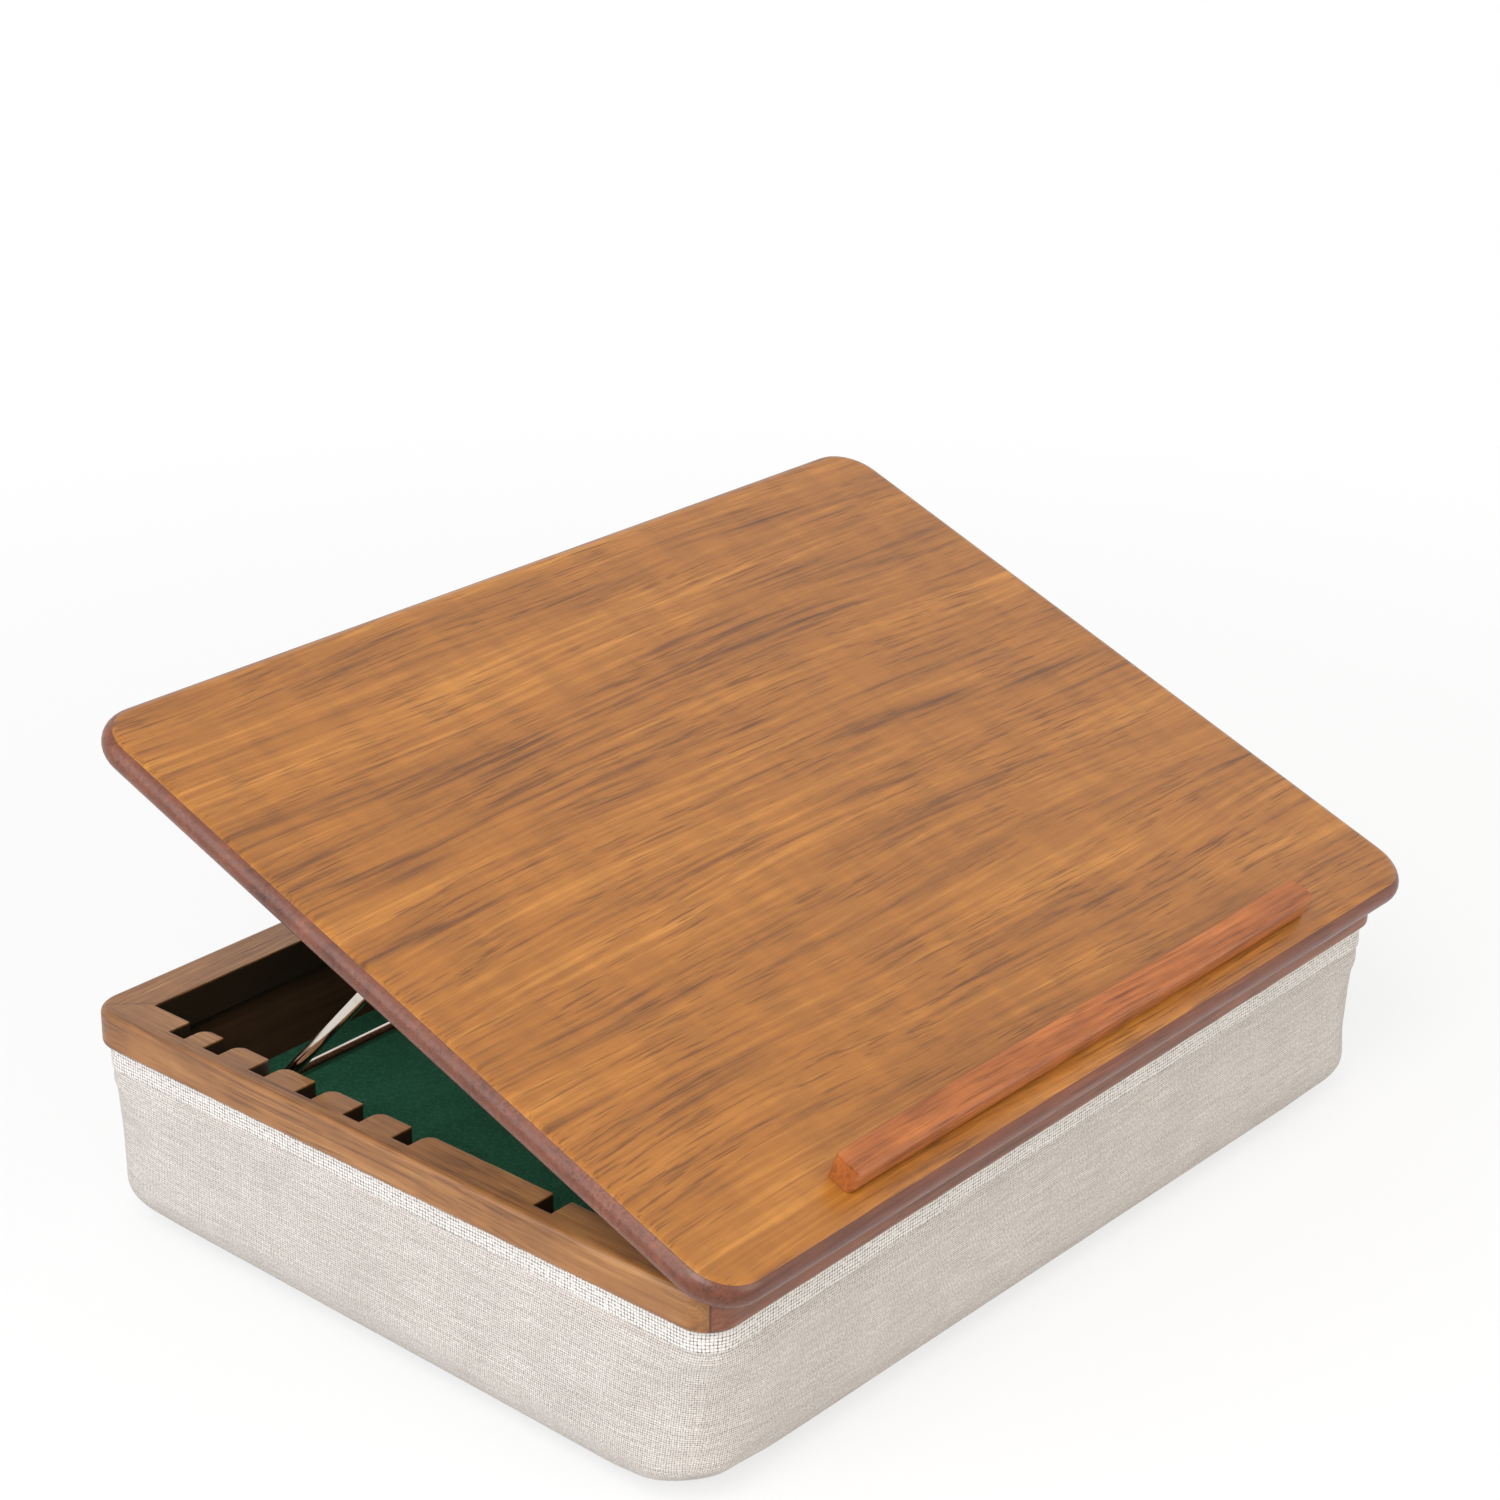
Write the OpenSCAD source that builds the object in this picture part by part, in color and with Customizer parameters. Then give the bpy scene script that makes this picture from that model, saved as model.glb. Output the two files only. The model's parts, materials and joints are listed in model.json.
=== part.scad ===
// Lap desk with a lid that lifts at the rear. A hardwood rail frame stands on a filled cushion and
// holds a shallow felt-lined compartment. The lid is hinged along the front rail, and a wire stand
// under it drops its foot rod into notches cut in the side rails.
// Millimetres. X is the width, Y points to the rear and Z is up. The origin is the middle of the
// flat underside. The lid is shown raised, with the foot rod at the notch that rest_notch names.

/* [Rail frame] */
// Overall width of the rail frame
frame_w = 389; // [350:1:440]
// Overall depth of the rail frame
frame_d = 288; // [262:1:330]
// Height of a rail
rail_h = 14; // [13:0.5:20]
// Width of the two side rails
side_rail_w = 15.5; // [14.5:0.5:20]
// Width of the front and rear rails
end_rail_w = 18; // [17:0.5:24]
// Corner radius of the rail frame
frame_corner_r = 12; // [9:0.5:14]
// Round-over along the top outer edge of the rails
rail_top_round = 2.5; // [1.5:0.5:4]
// Round-over along the bottom outer edge of the rails
rail_bottom_round = 2; // [1:0.5:4]

/* [Notches] */
// Distance from one working notch to the next
notch_pitch = 22.9; // [18:0.1:26]
// Length of a notch along its rail
notch_len = 8; // [6:0.5:10]
// Reach of a notch into the rail from the inner face
notch_reach = 9.4; // [7:0.1:10]
// Depth of a notch below the rail's top
notch_depth = 10.8; // [8:0.1:11]
// Radius of the lead-in at the front corner of a working notch
notch_lead_in = 4; // [1:0.5:5]
// Notch that holds the foot rod: working notches from the rear
rest_notch = 2; // [1, 2, 3, 4]

/* [Compartment] */
// Depth of the compartment from the rails' top to the felt
compartment_depth = 44; // [32:1:50]
// Thickness of the wall boards
wall_t = 6; // [5:0.5:8]
// Distance from the frame's outer face to a wall board's outer face
wall_inset = 8.5; // [8:0.5:9]
// Thickness of the floor panel
floor_t = 4; // [3:0.5:8]
// Thickness of the felt lining
felt_t = 1.5; // [1:0.1:3]
// Diameter of the dowels between rails and walls
dowel_d = 2.8; // [2:0.1:3]
// Length of a dowel
dowel_len = 14; // [8:1:20]
// Diameter of the floor brads
brad_d = 1.2; // [0.8:0.1:1.6]
// Length of a floor brad
brad_len = 16; // [10:1:25]

/* [Cushion] */
// Height of the cushion below the rails
cushion_h = 71.5; // [60:0.5:95]
// Distance from the frame's outer face to the cover
cover_inset = 3; // [2.5:0.1:3.4]
// Thickness of the cover cloth
cover_t = 1.2; // [0.8:0.1:1.5]
// Corner radius of the cover at its top
cover_corner_r = 11; // [9:1:14]
// Corner radius of the cushion where its sides end
cushion_corner_r = 20; // [14:1:32]
// Distance that the cushion's left and right stand out at its bottom, past the cover's top edge
cushion_swell = 3.4; // [0:0.2:5]
// Draw-in of the cushion's front and rear at its bottom
cushion_draw_in = 0.5; // [0:0.5:4]
// Extra draw-in in the middle of a side
side_hollow = 0.5; // [0:0.5:1.5]
// Radius that rounds the sides into the underside
cushion_round = 14; // [8:1:18]
// Rise of the underside from its middle to its edge
underside_crown = 2.5; // [1:0.5:4]
// Height of the binding that edges the cover
binding_h = 9; // [5:0.5:12]
// Thickness of the binding
binding_t = 1.1; // [0.8:0.1:1.5]
// Width of the cover's top hem, turned in over the walls
hem_w = 7.5; // [6.6:0.1:8]
// Distance from the cushion's side to the seam of the bottom panel
seam_inset = 34; // [28:1:50]

/* [Lid] */
// Distance that the lid stands out past each side of the frame
lid_side_overhang = 7; // [3:0.5:12]
// Distance that the closed lid stands out past the front of the frame
lid_front_overhang = 8.5; // [5:0.5:12]
// Distance that the closed lid stands out past the rear of the frame
lid_rear_overhang = 5.5; // [2:0.5:12]
// Thickness of the whole lid
lid_t = 11; // [10:0.5:14]
// Thickness of the veneer on the lid's top
veneer_t = 0.8; // [0.5:0.1:1.5]
// Thickness of the balancing veneer under the lid
backer_t = 0.6; // [0.4:0.1:1]
// Corner radius of the lid
lid_corner_r = 18; // [12:1:26]
// Gap between the closed lid and the rails
lid_gap = 0.4; // [0.3:0.1:1]

/* [Ledge] */
// Length of the ledge that stops a device from sliding
ledge_len = 265; // [180:1:320]
// Width of the ledge, front to rear
ledge_w = 10.5; // [8:0.5:16]
// Height of the ledge above the lid
ledge_h = 10; // [8:0.5:14]
// Distance from the lid's front edge to the ledge
ledge_setback = 10; // [6:0.5:20]
// Rounding of the ledge's front edges
ledge_round = 2.5; // [1:0.5:3.5]
// Corner radius of the ledge's ends, seen from above
ledge_end_r = 2; // [0.5:0.5:3]

/* [Hinges] */
// Distance of the hinge axis behind the frame's front face
hinge_inset = 1.5; // [1:0.1:2.2]
// Distance of each hinge's middle from the frame's outer side
hinge_from_side = 74.5; // [54.5:0.5:114.5]
// Length of a hinge
hinge_len = 40; // [30:1:60]
// Width of a hinge leaf from the axis
leaf_w = 14; // [12:0.5:15]
// Thickness of a hinge leaf
leaf_t = 1.2; // [1:0.1:1.5]
// Outer radius of a hinge barrel
barrel_r = 2.5; // [2.2:0.1:2.8]
// Radius of a hinge pin
hinge_pin_r = 1; // [0.8:0.1:1.2]
// Running clearance round a hinge pin
pin_fit = 0.05; // [0.02:0.01:0.09]
// Gap between two knuckles
knuckle_gap = 0.3; // [0.2:0.1:0.6]
// Clearance between a hinge barrel and the wood round it
barrel_clearance = 0.5; // [0.4:0.1:0.8]

/* [Wire stand] */
// Diameter of the stand's wire
wire_d = 4.5; // [4:0.1:5]
// Distance from the hinge axis to the stand's pivot
pivot_reach = 159.9; // [150:0.1:165]
// Length of a stand leg from pivot to foot
leg_len = 86.1; // [82:0.1:92]
// Gap between a stand leg and the side rail
leg_side_gap = 1.75; // [1:0.05:4]
// Bend radius of the stand wire
wire_bend_r = 7; // [6:0.5:12]
// Gap between an end of the foot rod and the side rail
rod_end_gap = 0.5; // [0.4:0.1:1]
// Distance of each clip's middle from the frame's outer side
clip_from_side = 54.5; // [49.5:0.5:134.5]
// Width of a clip
clip_w = 12; // [10:0.5:16]
// Thickness of a clip's strap
clip_t = 1; // [0.8:0.1:1.4]
// Length of each of a clip's two feet
clip_foot = 9; // [8:0.5:12]
// Running clearance between clip and wire
clip_fit = 0.06; // [0.02:0.01:0.09]

/* [Screws] */
// Shank diameter of the small wood screws
screw_d = 2.6; // [2:0.1:3]
// Head diameter of the small wood screws
screw_head_d = 5; // [4:0.1:5.5]
// Length of the small wood screws
screw_len = 9; // [7:0.5:9.5]
// Shank diameter of the ledge screws
ledge_screw_d = 3.2; // [2.5:0.1:3.5]
// Head diameter of the ledge screws
ledge_screw_head_d = 6.2; // [5:0.1:7]
// Length of the ledge screws
ledge_screw_len = 17; // [15:0.5:19]
// Clearance round a screw, dowel or brad in its hole
hole_fit = 0.05; // [0.02:0.01:0.1]

/* [Hidden] */
$fn = 48;

// Small overlap that carries a cut through a face
cut = 1;
// Thin gap that keeps a soft face off its neighbour
soft_gap = 0.3;
// Gap between faces that are glued or pressed together
seat_gap = 0.05;

// Levels
rail_base = cushion_h;
rail_top = rail_base + rail_h;
felt_top = rail_top - compartment_depth;
floor_top = felt_top - felt_t;
floor_base = floor_top - floor_t;
lid_base = rail_top + lid_gap;

// Plan lines of the frame
side_x = frame_w / 2;
front_y = -frame_d / 2;
rear_y = frame_d / 2;
rail_in_x = side_x - side_rail_w;
rail_in_y = rear_y - end_rail_w;
wall_out_x = side_x - wall_inset;
wall_out_y = rear_y - wall_inset;
wall_in_x = wall_out_x - wall_t;
wall_in_y = wall_out_y - wall_t;
wall_corner_r = cover_corner_r;

// Plan of the closed lid
lid_w = frame_w + 2 * lid_side_overhang;
lid_front = front_y - lid_front_overhang;
lid_rear = rear_y + lid_rear_overhang;
lid_d = lid_rear - lid_front;
lid_mid_y = (lid_front + lid_rear) / 2;

// Hinge axis, and the stand's pivot and stowed foot while the lid is closed
hinge_y = front_y + hinge_inset;
hinge_z = rail_top + lid_gap / 2;
wire_r = wire_d / 2;
pivot_drop = wire_r + clip_fit;
pivot_y = hinge_y + pivot_reach;
pivot_z = lid_base - pivot_drop;
stow_rear_y = pivot_y + leg_len;
stow_front_y = pivot_y - leg_len;

// Middles of the notches along a rail. The working notches count from the pivot, with the
// rearmost three pitches behind it. A plain notch clears the foot rod folded either way.
working_steps = [3, 2, 1, 0, -1];
lead_in_notches = concat([stow_rear_y], [for (k = working_steps) pivot_y + k * notch_pitch]);
plain_notches = [stow_front_y];

// The foot rod rests on the notch's floor, against its rear wall
foot_y = pivot_y + working_steps[rest_notch - 1] * notch_pitch + notch_len / 2 - wire_r;
foot_z = rail_top - notch_depth + wire_r;
foot_span = norm([foot_y - hinge_y, foot_z - hinge_z]);
pivot_span = norm([pivot_y - hinge_y, pivot_z - hinge_z]);
foot_slope = atan2(foot_z - hinge_z, foot_y - hinge_y);
pivot_slope = atan2(pivot_z - hinge_z, pivot_y - hinge_y);
hinge_corner = acos((foot_span ^ 2 + pivot_span ^ 2 - leg_len ^ 2) / (2 * foot_span * pivot_span));
lid_angle = foot_slope + hinge_corner - pivot_slope;
raised_pivot_y = hinge_y + pivot_span * cos(pivot_slope + lid_angle);
raised_pivot_z = hinge_z + pivot_span * sin(pivot_slope + lid_angle);
leg_slope = atan2(raised_pivot_z - foot_z, foot_y - raised_pivot_y);
stand_angle = lid_angle + leg_slope;

// Stand
leg_x = rail_in_x - leg_side_gap - wire_r;
clip_offset = side_x - clip_from_side;
rod_half = rail_in_x - rod_end_gap;
clip_r = wire_r + clip_fit;
clip_reach = clip_r + clip_t + clip_foot;
clip_screw_y = clip_r + clip_t + clip_foot / 2;

// Hinge
hinge_offset = side_x - hinge_from_side;
leaf_screw_y = leaf_w * 0.62;
leaf_screw_x = hinge_len * 0.34;
knuckles = 5;
knuckle_pitch = hinge_len / knuckles;
pin_head_r = 0.75 * barrel_r;
pin_head_t = 0.8;
gain_end = 0.4;

// Cushion sections. Each row is [height, draw-in of left and right, draw-in of front and rear,
// corner radius], from the top down. Below the binding the sides come out flush with it.
cover_half_x = side_x - cover_inset;
cover_half_y = rear_y - cover_inset;
corner_steps = 7;
side_steps = 4;
side_end_z = underside_crown + cushion_round;
flush_z = cushion_h - binding_h - 3.5;
side_rows = concat(
  [[cushion_h - 0.1, 0, 0, cover_corner_r], [cushion_h - binding_h, 0.1, 0.1, cover_corner_r]],
  [for (z = [flush_z, lerp(floor_base, flush_z, 0.5), floor_base, lerp(side_end_z, floor_base, 0.45), side_end_z])
    let (k = (flush_z - z) / (flush_z - side_end_z))
    [z, lerp(-binding_t, -cushion_swell, k), lerp(-binding_t, cushion_draw_in, k), mix_r(k)]]);
round_rows = [for (a = [30, 60, 90]) let (d = cushion_round * (1 - cos(a)))
  [side_end_z - cushion_round * sin(a), d - cushion_swell, d + cushion_draw_in, mix_r(1)]];
base_x = cover_half_x + cushion_swell - cushion_round;
base_y = cover_half_y - cushion_draw_in - cushion_round;
flat_depth = 0.5;

// Screw positions
dowel_wall_in = wall_t * 0.3;
dowel_side_y = [-0.36 * frame_d, (stow_front_y + pivot_y - notch_pitch) / 2, 0.4 * frame_d];
dowel_end_x = [-0.38, -0.13, 0.13, 0.38] * frame_w;
brad_side_y = [-0.4, -0.14, 0.14, 0.4] * frame_d;
brad_end_x = [-0.36, -0.12, 0.12, 0.36] * frame_w;
brad_in = wall_t / 2;
ledge_y = lid_front + ledge_setback + ledge_w / 2;
ledge_screw_x = [-1, 0, 1] * min(0.28 * ledge_len, hinge_offset - hinge_len / 2 - 2 * ledge_screw_head_d);

// Value between a and b
function lerp(a, b, k) = a + (b - a) * k;
// Cushion corner radius, a share k of the way from the top's to the bottom's
function mix_r(k) = lerp(cover_corner_r, cushion_corner_r, k);

// Points of a rounded rectangle, anticlockwise, with the middle of each side drawn in
function section(hx, hy, r, z, hollow = 0) = [
  for (c = [0:3]) each concat(
    [for (i = [0:corner_steps]) let (a = 90 * c + 90 * i / corner_steps,
      sx = (c == 0 || c == 3) ? 1 : -1, sy = c < 2 ? 1 : -1)
      [sx * (hx - r) + r * cos(a), sy * (hy - r) + r * sin(a), z]],
    [for (i = [1:side_steps - 1]) let (k = i / side_steps, d = hollow * sin(180 * k),
      run_x = hx - r, run_y = hy - r)
      c == 0 ? [lerp(run_x, -run_x, k), hy - d, z] :
      c == 1 ? [-hx + d, lerp(run_y, -run_y, k), z] :
      c == 2 ? [lerp(-run_x, run_x, k), -hy + d, z] :
      [hx - d, lerp(-run_y, run_y, k), z]]
  )
];

// Section of the cushion at one row, moved in by a distance
function cushion_section(row, inner = 0, lift = 0) = section(
  cover_half_x - row[1] - inner, cover_half_y - row[2] - inner, max(row[3] - inner, 2),
  row[0] + lift, side_hollow * min(1, (cushion_h - row[0]) / floor_base));

// Height of the crowned underside at a share k of the way from its middle to its edge
function underside(k) = -flat_depth + (underside_crown + flat_depth) * k ^ 4;
// Thickness of the cloth over it. The flat that the desk stands on is cut from the outside only.
function cloth_over(k) = cover_t + max(0, -underside(k));

// Section of the underside, a given distance inside its edge
function base_section(k, inner = 0, lift = 0) = section(
  base_x * k - inner, base_y * k - inner,
  max(mix_r(1) * k - inner, 4), underside(k) + lift);

// Closed solid through a stack of sections. The stack runs down the outside, and with loop set it
// comes back up the inside to its first section.
module lofted(rows, loop = false) {
  n = len(rows[0]);
  m = len(rows);
  last = loop ? m - 1 : m - 2;
  mids = loop ? [] : [[0, 0, rows[0][0][2]], [0, 0, rows[m - 1][0][2]]];
  sides = [for (j = [0:last]) let (q = (j + 1) % m) for (i = [0:n - 1]) let (p = (i + 1) % n)
    each [[j * n + i, q * n + p, q * n + i], [j * n + i, j * n + p, q * n + p]]];
  caps = loop ? [] : [for (i = [0:n - 1]) let (p = (i + 1) % n)
    each [[m * n, p, i], [m * n + 1, (m - 1) * n + i, (m - 1) * n + p]]];
  polyhedron(points = concat([for (row = rows) each row], mids), faces = concat(sides, caps),
    convexity = 6);
}

// Rounded rectangle outline, made of squares and circles
module rounded_plan(w, d, r) {
  square([w - 2 * r, d], center = true);
  square([w, d - 2 * r], center = true);
  for (x = [-1, 1], y = [-1, 1])
    translate([x * (w / 2 - r), y * (d / 2 - r)]) circle(r);
}

// Slab with rounded corners whose edge follows a profile. Its children draw the profile to the
// right of the Y axis, from 0 at the corner's middle to corner_r at the edge.
module edged_slab(w, d, corner_r, z0, z1) {
  run_x = w / 2 - corner_r;
  run_y = d / 2 - corner_r;
  for (c = [0:3])
    translate([(c == 0 || c == 3 ? 1 : -1) * run_x, (c < 2 ? 1 : -1) * run_y, 0])
      rotate([0, 0, 90 * c]) rotate_extrude(angle = 90) children();
  for (s = [0, 1]) rotate([0, 0, 180 * s]) {
    translate([run_x, run_y, 0]) rotate([90, 0, 0]) linear_extrude(2 * run_y) children();
    translate([-run_x, run_y, 0]) rotate([90, 0, 90]) linear_extrude(2 * run_x) children();
  }
  translate([-run_x, -run_y, z0]) cube([2 * run_x, 2 * run_y, z1 - z0]);
}

// Wood screw, head up at z = 0 and pointing down, with a cross recess
module wood_screw(shank_d, head_d, length) {
  head_h = (head_d - shank_d) / 2;
  tip = shank_d;
  recess = shank_d * 0.25;
  difference() {
    rotate_extrude() polygon([[0, 0], [head_d / 2, 0], [shank_d / 2, -head_h],
      [shank_d / 2, -length + tip], [0, -length]]);
    for (a = [0, 90]) rotate([0, 0, a])
      translate([-head_d * 0.27, -recess / 2, -head_h * 0.6]) cube([head_d * 0.54, recess, head_h]);
  }
}

// Hole that a wood screw fits, with its countersink, open above z = 0
module screw_hole(shank_d, head_d, length) {
  grow = hole_fit;
  head_h = (head_d - shank_d) / 2;
  rotate_extrude() polygon([[0, cut], [head_d / 2 + grow, cut], [head_d / 2 + grow, 0],
    [shank_d / 2 + grow, -head_h], [shank_d / 2 + grow, -length + shank_d], [0, -length - grow]]);
}

// Places its children on the lid, given where they are while the lid is closed
module on_lid() {
  translate([0, hinge_y, hinge_z]) rotate([lid_angle, 0, 0]) translate([0, -hinge_y, -hinge_z])
    children();
}

// Places its children on the stand, given where they are while it is folded to the rear
module on_stand() {
  on_lid() translate([0, pivot_y, pivot_z]) rotate([-stand_angle, 0, 0]) children();
}

// Edge profile of the rails, rounded over at the top and the bottom
module rail_profile() {
  r = frame_corner_r;
  t = rail_top_round;
  b = rail_bottom_round;
  translate([0, rail_base]) union() {
    square([r - max(t, b), rail_h]);
    translate([0, b]) square([r, rail_h - t - b]);
    translate([0, 0]) square([r - b, rail_h / 2]);
    translate([0, rail_h / 2]) square([r - t, rail_h / 2]);
    translate([r - t, rail_h - t]) circle(t);
    translate([r - b, b]) circle(b);
  }
}

// Whole rail frame before it is cut at its mitred corners
module rail_ring() {
  difference() {
    edged_slab(frame_w, frame_d, frame_corner_r, rail_base, rail_top) rail_profile();
    translate([-rail_in_x, -rail_in_y, rail_base - cut])
      cube([2 * rail_in_x, 2 * rail_in_y, rail_h + 2 * cut]);
  }
}

// Wedge between two mitre lines, on the right-hand side
module side_wedge() {
  out = side_x + cut;
  slope = end_rail_w / side_rail_w;
  reach_y = rear_y + cut * slope;
  inner = rail_in_x - cut;
  inner_y = rail_in_y - cut * slope;
  translate([0, 0, rail_base - cut]) linear_extrude(rail_h + 2 * cut)
    polygon([[inner, -inner_y], [out, -reach_y], [out, reach_y], [inner, inner_y]]);
}

// Cut for one notch in the right-hand rail, at its middle along the rail
module notch(y, lead_in) {
  x0 = rail_in_x - cut;
  front = y - notch_len / 2;
  translate([x0, front, rail_top - notch_depth])
    cube([notch_reach + cut, notch_len, notch_depth + cut]);
  if (lead_in) difference() {
    translate([x0, front - notch_lead_in, rail_top - notch_depth])
      cube([notch_lead_in + cut, notch_lead_in + cut / 2, notch_depth + cut]);
    translate([rail_in_x + notch_lead_in, front - notch_lead_in, rail_top - notch_depth - cut])
      cylinder(r = notch_lead_in, h = notch_depth + 3 * cut);
    translate([rail_in_x + notch_lead_in, front - notch_lead_in - cut, rail_top - notch_depth - cut])
      cube([notch_lead_in + cut, notch_lead_in + cut, notch_depth + 3 * cut]);
  }
}

// Places one dowel hole or dowel at each of its places
module at_dowels() {
  for (s = [-1, 1]) {
    for (y = dowel_side_y) translate([s * (wall_in_x + dowel_wall_in), y, rail_base]) children();
    for (x = dowel_end_x) translate([x, s * (wall_in_y + dowel_wall_in), rail_base]) children();
  }
}

module dowel(grow) {
  cylinder(d = dowel_d + 2 * grow, h = dowel_len + 2 * grow, center = true);
}

// Right-hand side rail
module side_rail() {
  difference() {
    intersection() {
      rail_ring();
      side_wedge();
    }
    for (y = lead_in_notches) notch(y, true);
    for (y = plain_notches) notch(y, false);
    at_dowels() dowel(hole_fit);
  }
}

// Front or rear rail, at the rear
module end_rail() {
  difference() {
    intersection() {
      rail_ring();
      translate([-side_x - cut, 0, rail_base - cut]) cube([frame_w + 2 * cut, frame_d, rail_h + 2 * cut]);
    }
    side_wedge();
    mirror([1, 0, 0]) side_wedge();
    at_dowels() dowel(hole_fit);
  }
}

module right_rail() {
  color("#b58a5c") side_rail();
}

module left_rail() {
  color("#b58a5c") mirror([1, 0, 0]) side_rail();
}

module rear_rail() {
  color("#b0855a") end_rail();
}

module front_rail() {
  color("#b0855a") difference() {
    mirror([0, 1, 0]) end_rail();
    for (s = [-1, 1]) translate([s * hinge_offset, 0, 0]) {
      barrel_gain();
      translate([-hinge_len / 2 - gain_end, hinge_y, rail_top - leaf_t - seat_gap])
        cube([hinge_len + 2 * gain_end, leaf_w + seat_gap, leaf_t + cut]);
      at_leaf_screws() translate([0, 0, rail_top]) screw_hole(screw_d, screw_head_d, screw_len);
    }
  }
}

module rail_dowels() {
  color("#c8a878") at_dowels() dowel(0);
}

// Outer shape shared by the four walls
module wall_block() {
  translate([0, 0, floor_top]) linear_extrude(rail_base - floor_top)
    rounded_plan(2 * wall_out_x, 2 * wall_out_y, wall_corner_r);
}

// Rebate round the top of the walls that holds the cover's turned-in hem
module hem_rebate() {
  land_x = cover_half_x - hem_w - soft_gap;
  land_y = cover_half_y - hem_w - soft_gap;
  depth = cover_t + 2 * soft_gap;
  translate([0, 0, rail_base - depth]) difference() {
    translate([-side_x, -rear_y, 0]) cube([frame_w, frame_d, depth + cut]);
    translate([0, 0, -cut]) linear_extrude(depth + 3 * cut)
      rounded_plan(2 * land_x, 2 * land_y, cover_corner_r / 2 + soft_gap);
  }
}

// Places one brad at each of its places, with its head at the floor panel's underside
module at_brads() {
  for (s = [-1, 1]) {
    for (y = brad_side_y) translate([s * (wall_out_x - brad_in), y, floor_base]) children();
    for (x = brad_end_x) translate([x, s * (wall_out_y - brad_in), floor_base]) children();
  }
}

// Right-hand wall board, which fits between the front and rear ones
module side_wall() {
  difference() {
    intersection() {
      wall_block();
      translate([wall_in_x, -wall_in_y, floor_top])
        cube([wall_t + cut, 2 * wall_in_y, rail_base - floor_top]);
    }
    hem_rebate();
    at_dowels() dowel(hole_fit);
    at_brads() cylinder(d = brad_d + 2 * hole_fit, h = brad_len + hole_fit);
  }
}

// Front or rear wall board, at the rear
module end_wall() {
  difference() {
    intersection() {
      wall_block();
      translate([-wall_out_x - cut, wall_in_y, floor_top])
        cube([2 * wall_out_x + 2 * cut, wall_t + cut, rail_base - floor_top]);
    }
    hem_rebate();
    at_dowels() dowel(hole_fit);
    at_brads() cylinder(d = brad_d + 2 * hole_fit, h = brad_len + hole_fit);
  }
}

module right_wall() {
  color("#4a2f1c") side_wall();
}

module left_wall() {
  color("#4a2f1c") mirror([1, 0, 0]) side_wall();
}

module rear_wall() {
  color("#4a2f1c") end_wall();
}

module front_wall() {
  color("#4a2f1c") mirror([0, 1, 0]) end_wall();
}

module floor_panel() {
  color("#7a5a3a") difference() {
    translate([0, 0, floor_base]) linear_extrude(floor_t)
      rounded_plan(2 * wall_out_x, 2 * wall_out_y, wall_corner_r);
    at_brads() translate([0, 0, -cut]) cylinder(d = brad_d + 2 * hole_fit, h = floor_t + 2 * cut);
    at_brads() translate([0, 0, -cut]) cylinder(d = 2 * brad_d + 2 * hole_fit, h = brad_d / 2 + cut);
  }
}

module floor_brads() {
  color("silver") at_brads() {
    cylinder(d = brad_d, h = brad_len);
    cylinder(d = 2 * brad_d, h = brad_d / 2);
  }
}

module felt_lining() {
  edge = seat_gap;
  color("#1f4f38") translate([-wall_in_x + edge, -wall_in_y + edge, floor_top])
    cube([2 * (wall_in_x - edge), 2 * (wall_in_y - edge), felt_t]);
}

// Filling, packed under the floor panel
module cushion_fill() {
  inner = cover_t + soft_gap;
  top = floor_base - soft_gap;
  rows = concat(
    [[top, at_height(top, 1), at_height(top, 2), at_height(top, 3)]],
    [for (row = side_rows) if (row[0] < top - 2) row], round_rows);
  color("#e8e4da") lofted(concat(
    [for (row = rows) cushion_section(row, inner, row[0] < side_end_z ? inner : 0)],
    [for (k = [0.7, 0.35]) base_section(k, 0, cloth_over(k) + soft_gap)]));
}

// Value of one column of the cushion's side rows at a height between them
function at_height(z, column) =
  lookup(z, [for (i = [len(side_rows) - 1:-1:0]) [side_rows[i][0], side_rows[i][column]]]);

// Share of the way from the underside's middle to its edge at which the seam runs
seam_k = 1 - (seam_inset - cover_half_y + base_y) / base_y;

// Sides of the cover, from the hem turned in over the walls to the seam on the underside
module cover_sides() {
  outer = concat(side_rows, round_rows);
  top = side_rows[0];
  hem_top = section(cover_half_x - hem_w, cover_half_y - hem_w, cover_corner_r / 2, top[0]);
  hem_low = section(cover_half_x - hem_w, cover_half_y - hem_w, cover_corner_r / 2, top[0] - cover_t);
  seam = base_section(seam_k);
  seam_in = base_section(seam_k, 0, cover_t);
  color("#e6e1d8") lofted(concat(
    [hem_top],
    [for (row = outer) cushion_section(row)],
    [seam, seam_in],
    [for (i = [len(outer) - 1:-1:1]) cushion_section(outer[i], cover_t, outer[i][0] < side_end_z ? cover_t : 0)],
    [cushion_section([top[0] - cover_t, top[1], top[2], top[3]], cover_t), hem_low]), loop = true);
}

// Bottom panel of the cover, sewn to the sides. The desk stands on its flattened middle.
module cover_bottom() {
  edge_k = seam_k - seat_gap / base_y;
  shares = [0.2, 0.5, 0.8, 1] * edge_k;
  color("#d8d2c6") difference() {
    lofted(concat(
      [for (k = shares) base_section(k, 0, cloth_over(k))],
      [for (i = [len(shares) - 1:-1:0]) base_section(shares[i])]));
    translate([-side_x, -rear_y, -2 * cut]) cube([frame_w, frame_d, 2 * cut]);
  }
}

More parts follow.
